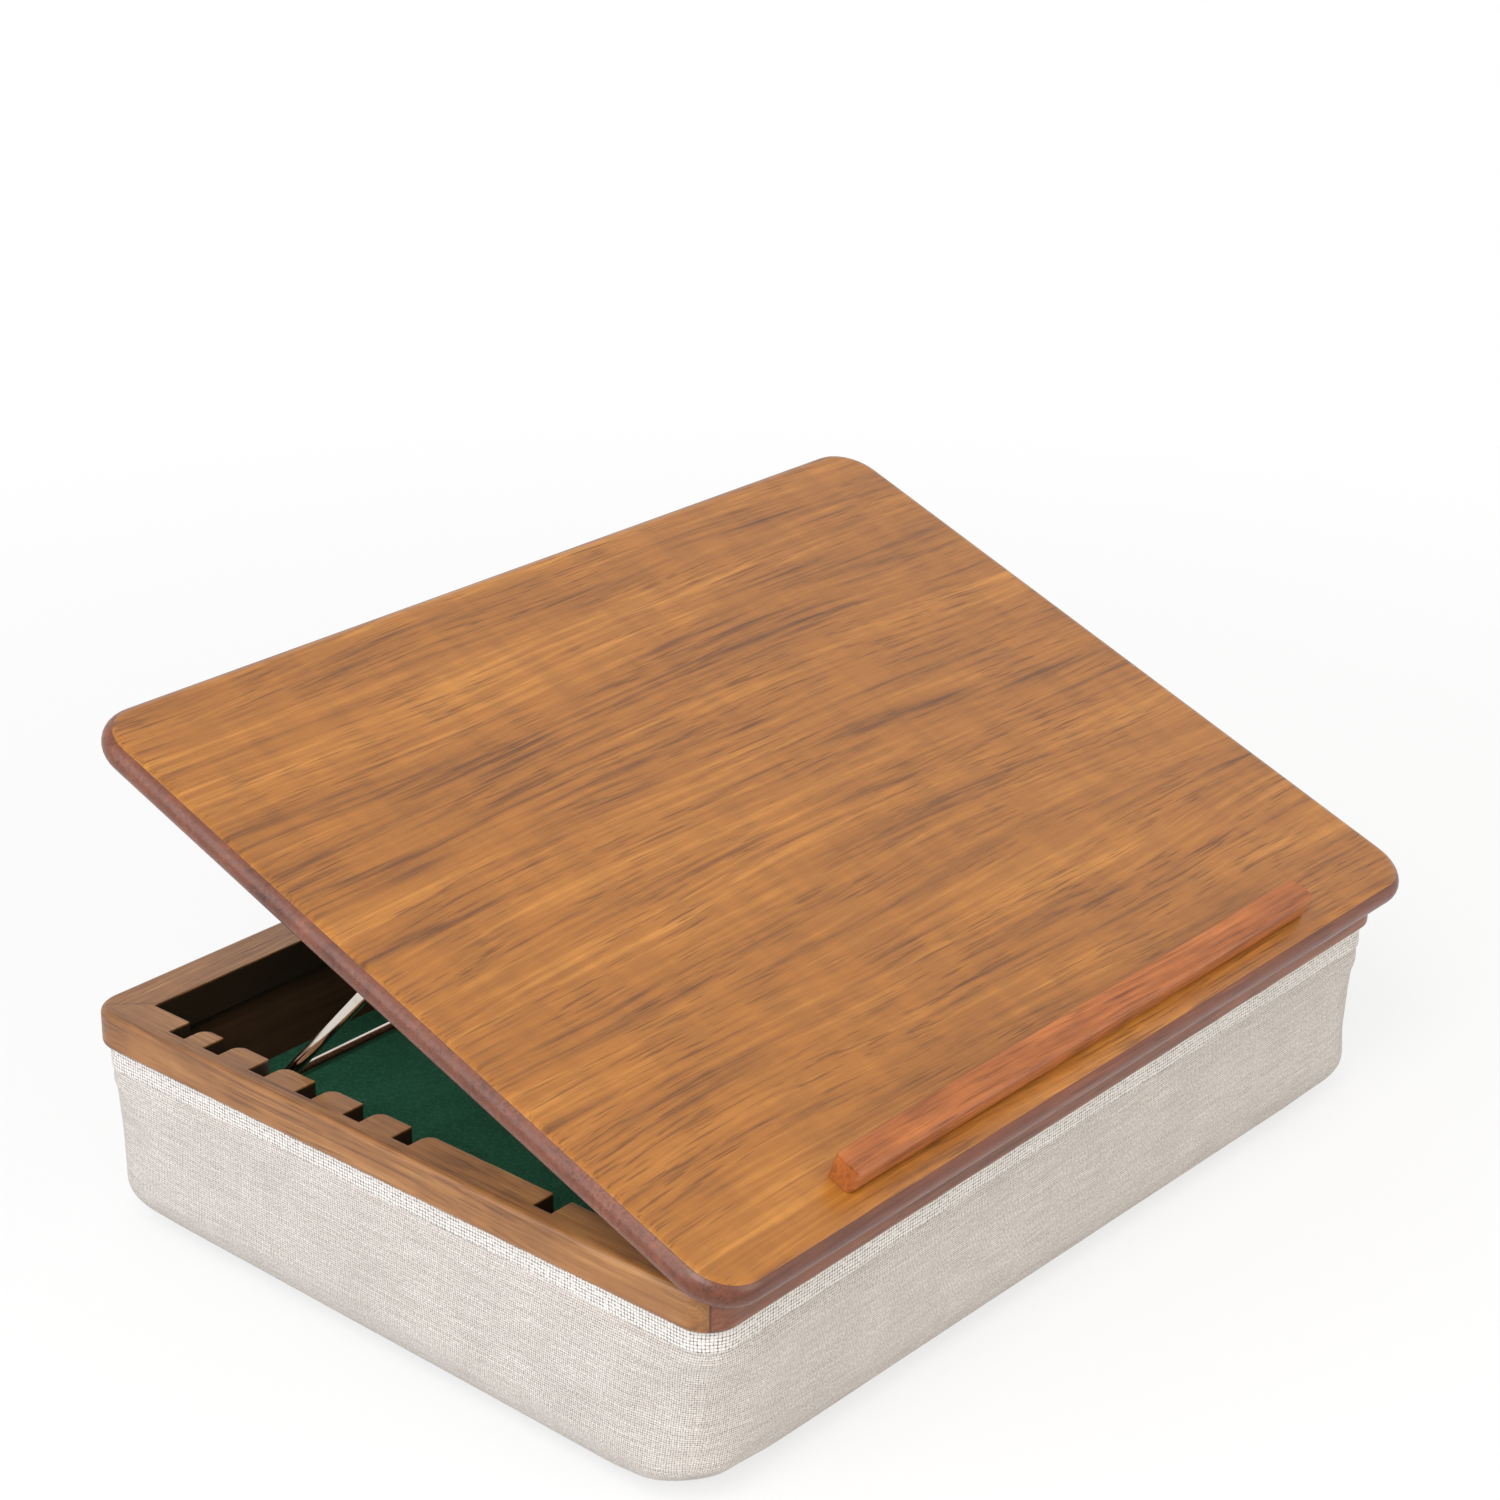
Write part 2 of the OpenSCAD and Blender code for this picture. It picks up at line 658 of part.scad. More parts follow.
// Coarse binding that edges the top of the cover
module cover_binding() {
  out_x = cover_half_x + binding_t + seat_gap;
  out_y = cover_half_y + binding_t + seat_gap;
  r = cover_corner_r + binding_t;
  color("#ece8e0") translate([0, 0, rail_base - binding_h]) difference() {
    linear_extrude(binding_h - seat_gap) rounded_plan(2 * out_x, 2 * out_y, r);
    translate([0, 0, -cut]) linear_extrude(binding_h + 2 * cut)
      rounded_plan(2 * (out_x - binding_t), 2 * (out_y - binding_t), r - binding_t);
  }
}

// Bullnose edge of the lid between two heights of its thickness
module lid_profile(z0, z1) {
  r = lid_t / 2;
  translate([0, lid_base]) intersection() {
    union() {
      square([lid_corner_r - r, lid_t]);
      translate([lid_corner_r - r, r]) circle(r, $fn = 64);
    }
    translate([0, z0]) square([lid_corner_r + cut, z1 - z0]);
  }
}

// One layer of the closed lid
module lid_layer(z0, z1) {
  translate([0, lid_mid_y, 0]) edged_slab(lid_w, lid_d, lid_corner_r, lid_base + z0, lid_base + z1)
    lid_profile(z0, z1);
}

// Places its children at each ledge screw, seen from under the lid
module at_ledge_screws() {
  for (x = ledge_screw_x) translate([x, ledge_y, lid_base]) mirror([0, 0, 1]) children();
}

// Places its children at each screw of a hinge leaf
module at_leaf_screws() {
  for (x = [-1, 1]) translate([x * leaf_screw_x, hinge_y + leaf_screw_y, 0]) children();
}

// Places its children at each clip screw, seen from under the lid
module at_clip_screws() {
  for (x = [-1, 1], y = [-1, 1])
    translate([x * clip_offset, pivot_y + y * clip_screw_y, lid_base]) mirror([0, 0, 1]) children();
}

// Everything that is cut from the underside of the lid
module lid_cuts() {
  at_ledge_screws() screw_hole(ledge_screw_d, ledge_screw_head_d, ledge_screw_len);
  at_clip_screws() translate([0, 0, clip_t]) screw_hole(screw_d, screw_head_d, screw_len);
  for (s = [-1, 1]) translate([s * hinge_offset, 0, 0]) {
    barrel_gain();
    translate([-hinge_len / 2 - gain_end, hinge_y, lid_base - cut])
      cube([hinge_len + 2 * gain_end, leaf_w + seat_gap, leaf_t + seat_gap + cut]);
    at_leaf_screws() translate([0, 0, lid_base]) mirror([0, 0, 1])
      screw_hole(screw_d, screw_head_d, screw_len);
  }
}

module lid_core() {
  color("#5a3220") on_lid() difference() {
    lid_layer(backer_t, lid_t - veneer_t);
    lid_cuts();
  }
}

module lid_veneer() {
  color("#a8702f") on_lid() difference() {
    lid_layer(lid_t - veneer_t, lid_t);
    at_ledge_screws() screw_hole(ledge_screw_d, ledge_screw_head_d, ledge_screw_len);
  }
}

module lid_backer() {
  color("#7d4f2b") on_lid() difference() {
    lid_layer(0, backer_t);
    lid_cuts();
  }
}

// Cross-section of the ledge, with its front to the left
module ledge_profile() {
  r = ledge_round;
  translate([r, 0]) square([ledge_w - r, ledge_h]);
  translate([0, r]) square([ledge_w, ledge_h - 2 * r]);
  translate([r, r]) circle(r);
  translate([r, ledge_h - r]) circle(r);
}

module ledge() {
  color("#a8552a") on_lid() difference() {
    translate([0, ledge_y - ledge_w / 2, lid_base + lid_t]) intersection() {
      translate([-ledge_len / 2, 0, 0]) rotate([90, 0, 90]) linear_extrude(ledge_len) ledge_profile();
      translate([0, ledge_w / 2, -cut]) linear_extrude(ledge_h + 2 * cut)
        rounded_plan(ledge_len, ledge_w, ledge_end_r);
    }
    at_ledge_screws() screw_hole(ledge_screw_d, ledge_screw_head_d, ledge_screw_len);
  }
}

module ledge_screws() {
  color("silver") on_lid() at_ledge_screws() wood_screw(ledge_screw_d, ledge_screw_head_d, ledge_screw_len);
}

// Room for a hinge barrel in the front rail and in the lid
module barrel_gain() {
  translate([0, hinge_y, hinge_z]) rotate([0, 90, 0])
    cylinder(r = barrel_r + barrel_clearance, h = hinge_len + 2 * (pin_head_t + gain_end), center = true);
}

// Leaf of a closed hinge. Side -1 is the rail's leaf, with its plate under the axis, and 1 the lid's.
module hinge_leaf(side) {
  first = side < 0 ? 0 : 1;
  z0 = side < 0 ? -lid_gap / 2 - leaf_t : lid_gap / 2;
  difference() {
    union() {
      translate([-hinge_len / 2, 0, z0]) cube([hinge_len, leaf_w, leaf_t]);
      for (k = [first:2:knuckles - 1]) knuckle(k, barrel_r, 0);
    }
    for (k = [1 - first:2:knuckles - 1]) knuckle(k, barrel_r + barrel_clearance, knuckle_gap);
    rotate([0, 90, 0]) cylinder(r = hinge_pin_r + pin_fit, h = hinge_len + 2 * cut, center = true);
    for (x = [-1, 1]) translate([x * leaf_screw_x, leaf_screw_y, side < 0 ? -lid_gap / 2 : lid_gap / 2])
      mirror([0, 0, side < 0 ? 0 : 1]) screw_hole(screw_d, screw_head_d, screw_len);
  }
}

// One knuckle of a hinge barrel, grown at each end
module knuckle(k, r, grow) {
  translate([-hinge_len / 2 + k * knuckle_pitch - grow, 0, 0]) rotate([0, 90, 0])
    cylinder(r = r, h = knuckle_pitch + 2 * grow);
}

// Hinge pin with a flat head at each end
module hinge_pin() {
  rotate([0, 90, 0]) {
    cylinder(r = hinge_pin_r, h = hinge_len + 2 * seat_gap, center = true);
    for (s = [0, 1]) mirror([0, 0, s]) translate([0, 0, hinge_len / 2 + seat_gap])
      cylinder(r = pin_head_r, h = pin_head_t);
  }
}

// Places its children on a hinge's axis
module at_hinge(s) {
  translate([s * hinge_offset, hinge_y, hinge_z]) children();
}

module left_rail_leaf() {
  color("#b08d57") at_hinge(-1) hinge_leaf(-1);
}

module right_rail_leaf() {
  color("#b08d57") at_hinge(1) hinge_leaf(-1);
}

module left_lid_leaf() {
  color("#b08d57") on_lid() at_hinge(-1) hinge_leaf(1);
}

module right_lid_leaf() {
  color("#b08d57") on_lid() at_hinge(1) hinge_leaf(1);
}

module left_hinge_pin() {
  color("#9a7b4a") at_hinge(-1) hinge_pin();
}

module right_hinge_pin() {
  color("#9a7b4a") at_hinge(1) hinge_pin();
}

module rail_leaf_screws() {
  color("#b08d57") for (s = [-1, 1]) translate([s * hinge_offset, 0, rail_top])
    at_leaf_screws() wood_screw(screw_d, screw_head_d, screw_len);
}

module lid_leaf_screws() {
  color("#b08d57") on_lid() for (s = [-1, 1]) translate([s * hinge_offset, 0, lid_base])
    at_leaf_screws() mirror([0, 0, 1]) wood_screw(screw_d, screw_head_d, screw_len);
}

// Bent wire of the stand: the pivot rod and a leg at each end of it
module stand_wire() {
  run = leg_x - wire_bend_r;
  color("#b9b2a6") on_stand() difference() {
    union() {
      rotate([0, 90, 0]) cylinder(r = wire_r, h = 2 * run, center = true);
      for (s = [0, 1]) mirror([s, 0, 0]) {
        translate([run, wire_bend_r, 0]) rotate([0, 0, -90]) rotate_extrude(angle = 90)
          translate([wire_bend_r, 0]) circle(wire_r);
        translate([leg_x, wire_bend_r, 0]) rotate([-90, 0, 0]) cylinder(r = wire_r, h = leg_len - wire_bend_r);
      }
    }
    translate([0, leg_len, 0]) rotate([0, 90, 0]) cylinder(r = wire_r, h = 2 * rod_half + 2 * cut, center = true);
  }
}

// Foot rod, welded across the ends of the legs
module foot_rod() {
  color("#b9b2a6") on_stand() translate([0, leg_len, 0]) rotate([0, 90, 0])
    cylinder(r = wire_r, h = 2 * rod_half, center = true);
}

// Saddle clip round the pivot rod, as it lies on the closed lid
module clip() {
  out_r = clip_r + clip_t;
  difference() {
    union() {
      translate([0, 0, -pivot_drop]) rotate([0, 90, 0]) cylinder(r = out_r, h = clip_w, center = true);
      translate([-clip_w / 2, -out_r, -pivot_drop]) cube([clip_w, 2 * out_r, pivot_drop]);
      translate([-clip_w / 2, -clip_reach, -clip_t]) cube([clip_w, 2 * clip_reach, clip_t]);
    }
    translate([0, 0, -pivot_drop]) rotate([0, 90, 0]) cylinder(r = clip_r, h = clip_w + 2 * cut, center = true);
    translate([-clip_w / 2 - cut, -clip_r, -pivot_drop]) cube([clip_w + 2 * cut, 2 * clip_r, pivot_drop + cut]);
    translate([-clip_w / 2 - cut, -out_r - cut, 0]) cube([clip_w + 2 * cut, 2 * out_r + 2 * cut, out_r]);
    for (y = [-1, 1]) translate([0, y * clip_screw_y, -clip_t]) mirror([0, 0, 1])
      screw_hole(screw_d, screw_head_d, screw_len);
  }
}

module left_clip() {
  color("#a7a39b") on_lid() translate([-clip_offset, pivot_y, lid_base]) clip();
}

module right_clip() {
  color("#a7a39b") on_lid() translate([clip_offset, pivot_y, lid_base]) clip();
}

module clip_screws() {
  color("silver") on_lid() at_clip_screws() translate([0, 0, clip_t]) wood_screw(screw_d, screw_head_d, screw_len);
}

left_rail();
right_rail();
front_rail();
rear_rail();
rail_dowels();
left_wall();
right_wall();
front_wall();
rear_wall();
floor_panel();
floor_brads();
felt_lining();
cushion_fill();
cover_sides();
cover_bottom();
cover_binding();
lid_core();
lid_veneer();
lid_backer();
ledge();
ledge_screws();
left_rail_leaf();
left_lid_leaf();
left_hinge_pin();
right_rail_leaf();
right_lid_leaf();
right_hinge_pin();
rail_leaf_screws();
lid_leaf_screws();
stand_wire();
foot_rod();
left_clip();
right_clip();
clip_screws();
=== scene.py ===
"""The looks of a lap desk: a hardwood frame on a linen cushion, under a veneered lid that a wire stand props."""
from __future__ import annotations

import json
import logging
import math
from dataclasses import dataclass
from enum import Enum
from typing import Any, Sequence

import bmesh
import bpy
import numpy as np
from mathutils import Matrix, Vector

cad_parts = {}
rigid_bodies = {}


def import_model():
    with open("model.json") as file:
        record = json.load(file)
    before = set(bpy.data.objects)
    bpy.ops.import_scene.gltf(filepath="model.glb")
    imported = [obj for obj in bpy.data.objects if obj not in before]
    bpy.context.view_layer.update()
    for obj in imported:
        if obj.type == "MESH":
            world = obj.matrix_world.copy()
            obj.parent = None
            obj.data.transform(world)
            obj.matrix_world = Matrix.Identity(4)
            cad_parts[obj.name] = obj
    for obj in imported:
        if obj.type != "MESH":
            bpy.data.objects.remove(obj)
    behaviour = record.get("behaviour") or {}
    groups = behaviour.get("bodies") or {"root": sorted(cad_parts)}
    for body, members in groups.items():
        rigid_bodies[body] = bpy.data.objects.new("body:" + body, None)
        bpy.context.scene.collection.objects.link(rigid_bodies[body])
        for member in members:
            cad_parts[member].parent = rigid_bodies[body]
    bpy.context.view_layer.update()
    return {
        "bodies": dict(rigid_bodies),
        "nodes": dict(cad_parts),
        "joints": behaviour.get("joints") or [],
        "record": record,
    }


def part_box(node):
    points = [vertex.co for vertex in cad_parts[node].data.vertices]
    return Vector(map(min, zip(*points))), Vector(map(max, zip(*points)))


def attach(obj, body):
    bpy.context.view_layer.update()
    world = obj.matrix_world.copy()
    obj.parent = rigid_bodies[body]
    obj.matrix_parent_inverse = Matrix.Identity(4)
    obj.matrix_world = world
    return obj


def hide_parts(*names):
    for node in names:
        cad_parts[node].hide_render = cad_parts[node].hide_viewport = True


LOG = logging.getLogger("lap_desk")
MM = 0.001
Socket = Any
Colour = tuple[float, float, float, float]


def rgb(red: int, green: int, blue: int) -> Colour:
    """Turn a colour as seen on a screen, 0 to 255, into the shader's linear values."""
    linear = [(c / 255 / 12.92) if c <= 10 else ((c / 255 + 0.055) / 1.055) ** 2.4 for c in (red, green, blue)]
    return (linear[0], linear[1], linear[2], 1.0)


class GrainRun(Enum):
    """The way the grain of a board runs."""

    ACROSS = "x"
    DEPTH = "y"


class Board:
    """A node tree with short calls for the nodes that the finishes use."""

    def __init__(self, tree: bpy.types.NodeTree) -> None:
        """Keep the node tree that nodes are added to."""
        self.tree = tree

    def add(self, kind: str, inputs: dict[Any, Any] | None = None, **settings: Any) -> bpy.types.Node:
        """Add a node, set it and feed it.

        Args:
            kind: The node's type name without its ShaderNode prefix.
            inputs: Values or sockets by input name or number.
            **settings: Attributes of the node.

        Returns:
            The new node.
        """
        node = self.tree.nodes.new("ShaderNode" + kind)
        for name, value in settings.items():
            setattr(node, name, value)
        self.fill(node, inputs or {})
        return node

    def feed(self, socket: Socket, value: Any) -> None:
        """Link a node socket to an input, or set the input to a plain value."""
        if isinstance(value, bpy.types.NodeSocket):
            self.tree.links.new(value, socket)
        else:
            socket.default_value = value

    def fill(self, node: bpy.types.Node, inputs: dict[Any, Any]) -> None:
        """Feed several inputs of a node, each from a node socket or a plain value."""
        for name, value in inputs.items():
            self.feed(node.inputs[name], value)

    def math(self, operation: str, *values: Any, clamp: bool = False) -> Socket:
        """Add a Math node and return its result."""
        node = self.add("Math", dict(enumerate(values)), operation=operation, use_clamp=clamp)
        return node.outputs[0]

    def vector(self, operation: str, *values: Any) -> Socket:
        """Add a Vector Math node and return its vector."""
        return self.add("VectorMath", dict(enumerate(values)), operation=operation).outputs[0]

    def times(self, *values: Any, clamp: bool = False) -> Socket:
        """Multiply two values."""
        return self.math("MULTIPLY", *values, clamp=clamp)

    def plus(self, *values: Any, clamp: bool = False) -> Socket:
        """Add two values."""
        return self.math("ADD", *values, clamp=clamp)

    def minus(self, *values: Any) -> Socket:
        """Take the second value from the first."""
        return self.math("SUBTRACT", *values)

    def scaled(self, vector: Socket, scale: Sequence[float]) -> Socket:
        """Stretch a vector by the scale on each axis."""
        return self.add("Mapping", {"Vector": vector, "Scale": tuple(scale)}).outputs[0]

    def noise(
        self, vector: Socket, scale: float, detail: float = 2.0, rough: float = 0.5, bend: float = 0.0
    ) -> Socket:
        """Add a Noise Texture and return its factor; bend is its distortion."""
        inputs = {"Vector": vector, "Scale": scale, "Detail": detail, "Roughness": rough, "Distortion": bend}
        return self.add("TexNoise", inputs).outputs["Fac"]

    def span(self, value: Socket, low: float, high: float, new_low: float = 0.0, new_high: float = 1.0) -> Socket:
        """Map a range of a value smoothly to another range, held at both ends."""
        inputs = {0: value, 1: low, 2: high, 3: new_low, 4: new_high}
        return self.add("MapRange", inputs, interpolation_type="SMOOTHSTEP").outputs[0]

    def blend(self, factor: Any, first: Any, second: Any, mode: str = "MIX") -> Socket:
        """Mix two colours by the second one's share, with a blend type."""
        node = self.add("Mix", {0: factor, 6: first, 7: second}, data_type="RGBA", blend_type=mode)
        return node.outputs[2]

    def shade(self, colour: Socket, level: Socket) -> Socket:
        """Multiply a colour by a grey level."""
        return self.blend(1.0, colour, self.point(level, level, level), "MULTIPLY")

    def place(self, vector: Socket) -> tuple[Socket, Socket, Socket]:
        """Split a vector into its three parts."""
        node = self.add("SeparateXYZ", {0: vector})
        return node.outputs[0], node.outputs[1], node.outputs[2]

    def point(self, x: Any, y: Any, z: Any) -> Socket:
        """Join three values into a vector."""
        return self.add("CombineXYZ", {0: x, 1: y, 2: z}).outputs[0]


class ShaderKit:
    """The node groups that more than one finish uses. Scales are repeats in a metre, along the grain first."""

    drift_scale = (2.2, 9.0, 9.0)
    sway = 0.030
    band_draw = 0.10
    streak_draw = 0.035
    figure_gain = 2.6
    pore_scale = (42.0, 1150.0, 1150.0)
    pore_depth = 0.62
    patch_scale = (18.0, 60.0, 60.0)
    ripple_scale = (95.0, 22.0, 22.0)
    cloth_sway_scale = (60.0, 60.0, 1.0)
    cloth_sway = 1.1
    crown_taper = 0.35
    thread_step = 0.73
    thread_draw = 0.035
    warp_slub = 0.55
    weft_slub = 1.3
    tuft_scale = 0.8

    def __init__(self) -> None:
        """Build every group once."""
        self.timber = self._timber()
        self.weave = self._weave()
        self.rounded = self._rounded()
        self.handling = self._handling()

    def _start(
        self, name: str, inputs: dict[str, tuple[str, Any]], outputs: dict[str, str]
    ) -> tuple[Board, Any, Any]:
        """Make an empty group with its sockets.

        Args:
            name: The group's name.
            inputs: The kind and default of each input.
            outputs: The kind of each output.

        Returns:
            The board, the input node's sockets and the output node's sockets.
        """
        tree = bpy.data.node_groups.new(name, "ShaderNodeTree")
        for label, (kind, default) in inputs.items():
            socket = tree.interface.new_socket(label, in_out="INPUT", socket_type="NodeSocket" + kind)
            if default is not None:
                socket.default_value = default
        for label, kind in outputs.items():
            tree.interface.new_socket(label, in_out="OUTPUT", socket_type="NodeSocket" + kind)
        return Board(tree), tree.nodes.new("NodeGroupInput").outputs, tree.nodes.new("NodeGroupOutput").inputs

    def _timber(self) -> bpy.types.NodeTree:
        """Wood figure with its grain along X: bands, fine streaks, pores and a faint cross ripple."""
        board, given, out = self._start(
            "timber_figure",
            {
                "Vector": ("Vector", None),
                "Pale": ("Color", rgb(205, 150, 90)),
                "Middle": ("Color", rgb(180, 120, 60)),
                "Dark": ("Color", rgb(120, 75, 40)),
                "Band Size": ("Float", 30.0),
                "Streak Size": ("Float", 260.0),
                "Contrast": ("Float", 1.0),
                "Pores": ("Float", 0.5),
            },
            {"Color": "Color", "Height": "Float", "Gloss": "Float"},
        )
        spot = given["Vector"]
        drift = board.noise(board.scaled(spot, self.drift_scale), 1.0, 2.0)
        sway = board.times(board.minus(drift, 0.5), self.sway)
        x, y, z = board.place(spot)
        bent = board.point(x, board.plus(y, sway), board.plus(z, sway))
        size = given["Band Size"]
        band_at = board.vector("MULTIPLY", bent, board.point(board.times(size, self.band_draw), size, size))
        band = board.noise(band_at, 1.0, 3.0, 0.55, 0.25)
        size = given["Streak Size"]
        streak_at = board.vector("MULTIPLY", bent, board.point(board.times(size, self.streak_draw), size, size))
        streak = board.noise(streak_at, 1.0, 4.0, 0.62)
        figure = board.plus(board.times(band, 0.5), board.times(streak, 0.5))
        level = board.times(board.minus(figure, 0.5), given["Contrast"])
        level = board.plus(board.times(level, self.figure_gain), 0.5, clamp=True)
        lower = board.blend(board.span(level, 0.0, 0.5), given["Dark"], given["Middle"])
        colour = board.blend(board.span(level, 0.45, 1.0), lower, given["Pale"])
        pore = board.span(board.noise(board.scaled(bent, self.pore_scale), 1.0, 2.0, 0.5), 0.53, 0.66)
        patch = board.span(board.noise(board.scaled(spot, self.patch_scale), 1.0, 2.0), 0.38, 0.62, 0.25, 1.0)
        pore = board.times(board.times(pore, patch), given["Pores"])
        colour = board.blend(pore, colour, board.blend(self.pore_depth, colour, given["Dark"]))
        ripple = board.noise(board.scaled(spot, self.ripple_scale), 1.0, 2.0)
        colour = board.shade(colour, board.span(ripple, 0.3, 0.7, 0.93, 1.07))
        board.feed(out["Color"], colour)
        board.feed(out["Height"], board.minus(board.times(streak, 0.5), pore))
        board.feed(out["Gloss"], board.plus(pore, board.times(streak, 0.4)))
        return board.tree

    def _weave(self) -> bpy.types.NodeTree:
        """Plain weave on a piece's own map in metres: thread crowns, gaps between them and slubby threads."""
        board, given, out = self._start(
            "linen_weave",
            {"Vector": ("Vector", None), "Threads": ("Float", 720.0), "Slub": ("Float", 1.0)},
            {"Gap": "Float", "Height": "Float", "Heather": "Float"},
        )
        across, down, _ = board.place(given["Vector"])
        sway = board.noise(board.scaled(given["Vector"], self.cloth_sway_scale), 1.0, 2.0)
        shift = board.times(board.minus(sway, 0.5), self.cloth_sway)
        warp_at = board.plus(board.times(across, given["Threads"]), shift)
        weft_at = board.plus(board.times(down, given["Threads"]), shift)
        warp = board.math("ABSOLUTE", board.math("SINE", board.times(warp_at, math.pi)))
        weft = board.math("ABSOLUTE", board.math("SINE", board.times(weft_at, math.pi)))
        warp_number = board.math("FLOOR", warp_at)
        weft_number = board.math("FLOOR", weft_at)
        over = board.math("MODULO", board.math("ABSOLUTE", board.plus(warp_number, weft_number)), 2.0)
        under = board.minus(1.0, over)
        long_warp = board.times(board.times(warp, board.math("POWER", weft, self.crown_taper)), over)
        long_weft = board.times(board.times(weft, board.math("POWER", warp, self.crown_taper)), under)
        height = board.plus(long_warp, long_weft)
        step, draw, tuft = self.thread_step, self.thread_draw, self.tuft_scale
        warp_spot = board.point(board.times(warp_number, step), board.times(weft_at, draw), 0.0)
        weft_spot = board.point(board.times(warp_at, draw), board.times(weft_number, step), 4.0)
        tuft_spot = board.point(board.times(warp_at, tuft), board.times(weft_at, tuft), 9.0)
        warp_swing = board.times(board.minus(board.noise(warp_spot, 1.0, 2.0), 0.5), self.warp_slub)
        weft_swing = board.times(board.minus(board.noise(weft_spot, 1.0, 2.0), 0.5), self.weft_slub)
        slub = board.plus(board.times(warp_swing, over), board.times(weft_swing, under))
        slub = board.times(slub, given["Slub"])
        patchy = board.span(board.noise(tuft_spot, 1.0, 2.0), 0.34, 0.64, 0.35, 1.15)
        board.feed(out["Gap"], board.times(board.span(height, 0.66, 0.16), patchy, clamp=True))
        board.feed(out["Height"], board.plus(height, board.times(slub, 0.6)))
        board.feed(out["Heather"], board.plus(board.times(slub, 2.2), 0.5, clamp=True))
        return board.tree

    def _rounded(self) -> bpy.types.NodeTree:
        """A broken edge for a cut board: a normal that turns softly round every arris, and a mask of the arris."""
        board, given, out = self._start(
            "broken_edge", {"Radius": ("Float", 0.0005)}, {"Normal": "Vector", "Edge": "Float"}
        )
        bevel = board.add("Bevel", {"Radius": given["Radius"]}, samples=6).outputs[0]
        true = board.add("NewGeometry").outputs["True Normal"]
        along = board.add("VectorMath", {0: bevel, 1: true}, operation="DOT_PRODUCT").outputs["Value"]
        board.feed(out["Normal"], bevel)
        board.feed(out["Edge"], board.span(along, 0.99, 0.80))
        return board.tree

    def _handling(self) -> bpy.types.NodeTree:
        """Faint uneven sheen that handling leaves on a finish, as a change of roughness."""
        board, given, out = self._start(
            "handled_sheen",
            {"Vector": ("Vector", None), "Roughness": ("Float", 0.4), "Spread": ("Float", 0.08)},
            {"Roughness": "Float"},
        )
        cloud = board.times(board.noise(given["Vector"], 28.0, 4.0, 0.6), 0.7)
        fine = board.times(board.noise(given["Vector"], 420.0, 2.0, 0.5), 0.3)
        swing = board.minus(board.plus(cloud, fine), 0.5)
        board.feed(out["Roughness"], board.plus(given["Roughness"], board.times(swing, given["Spread"])))
        return board.tree


@dataclass(frozen=True)
class Finish:
    """A finish that makes its material on first use."""

    name: str

    def build(self, kit: ShaderKit) -> bpy.types.Material:
        """Return the material, made once.

        Args:
            kit: The shared node groups.

        Returns:
            The material.
        """
        label = "looks_" + self.name
        known = bpy.data.materials.get(label)
        if known:
            return known
        material = bpy.data.materials.new(label)
        material.use_nodes = True
        board = Board(material.node_tree)
        shader = next(n for n in material.node_tree.nodes if n.type == "BSDF_PRINCIPLED")
        self.compose(board, shader, kit)
        return material

    def compose(self, board: Board, shader: bpy.types.Node, kit: ShaderKit) -> None:
        """Add the finish's nodes to its Principled shader."""
        raise NotImplementedError

    @staticmethod
    def group(board: Board, tree: bpy.types.NodeTree, inputs: dict[str, Any]) -> bpy.types.Node:
        """Place a shared group.

        Args:
            board: Where it goes.
            tree: The group.
            inputs: Its values.

        Returns:
            The group's node.
        """
        node = board.tree.nodes.new("ShaderNodeGroup")
        node.node_tree = tree
        board.fill(node, inputs)
        return node


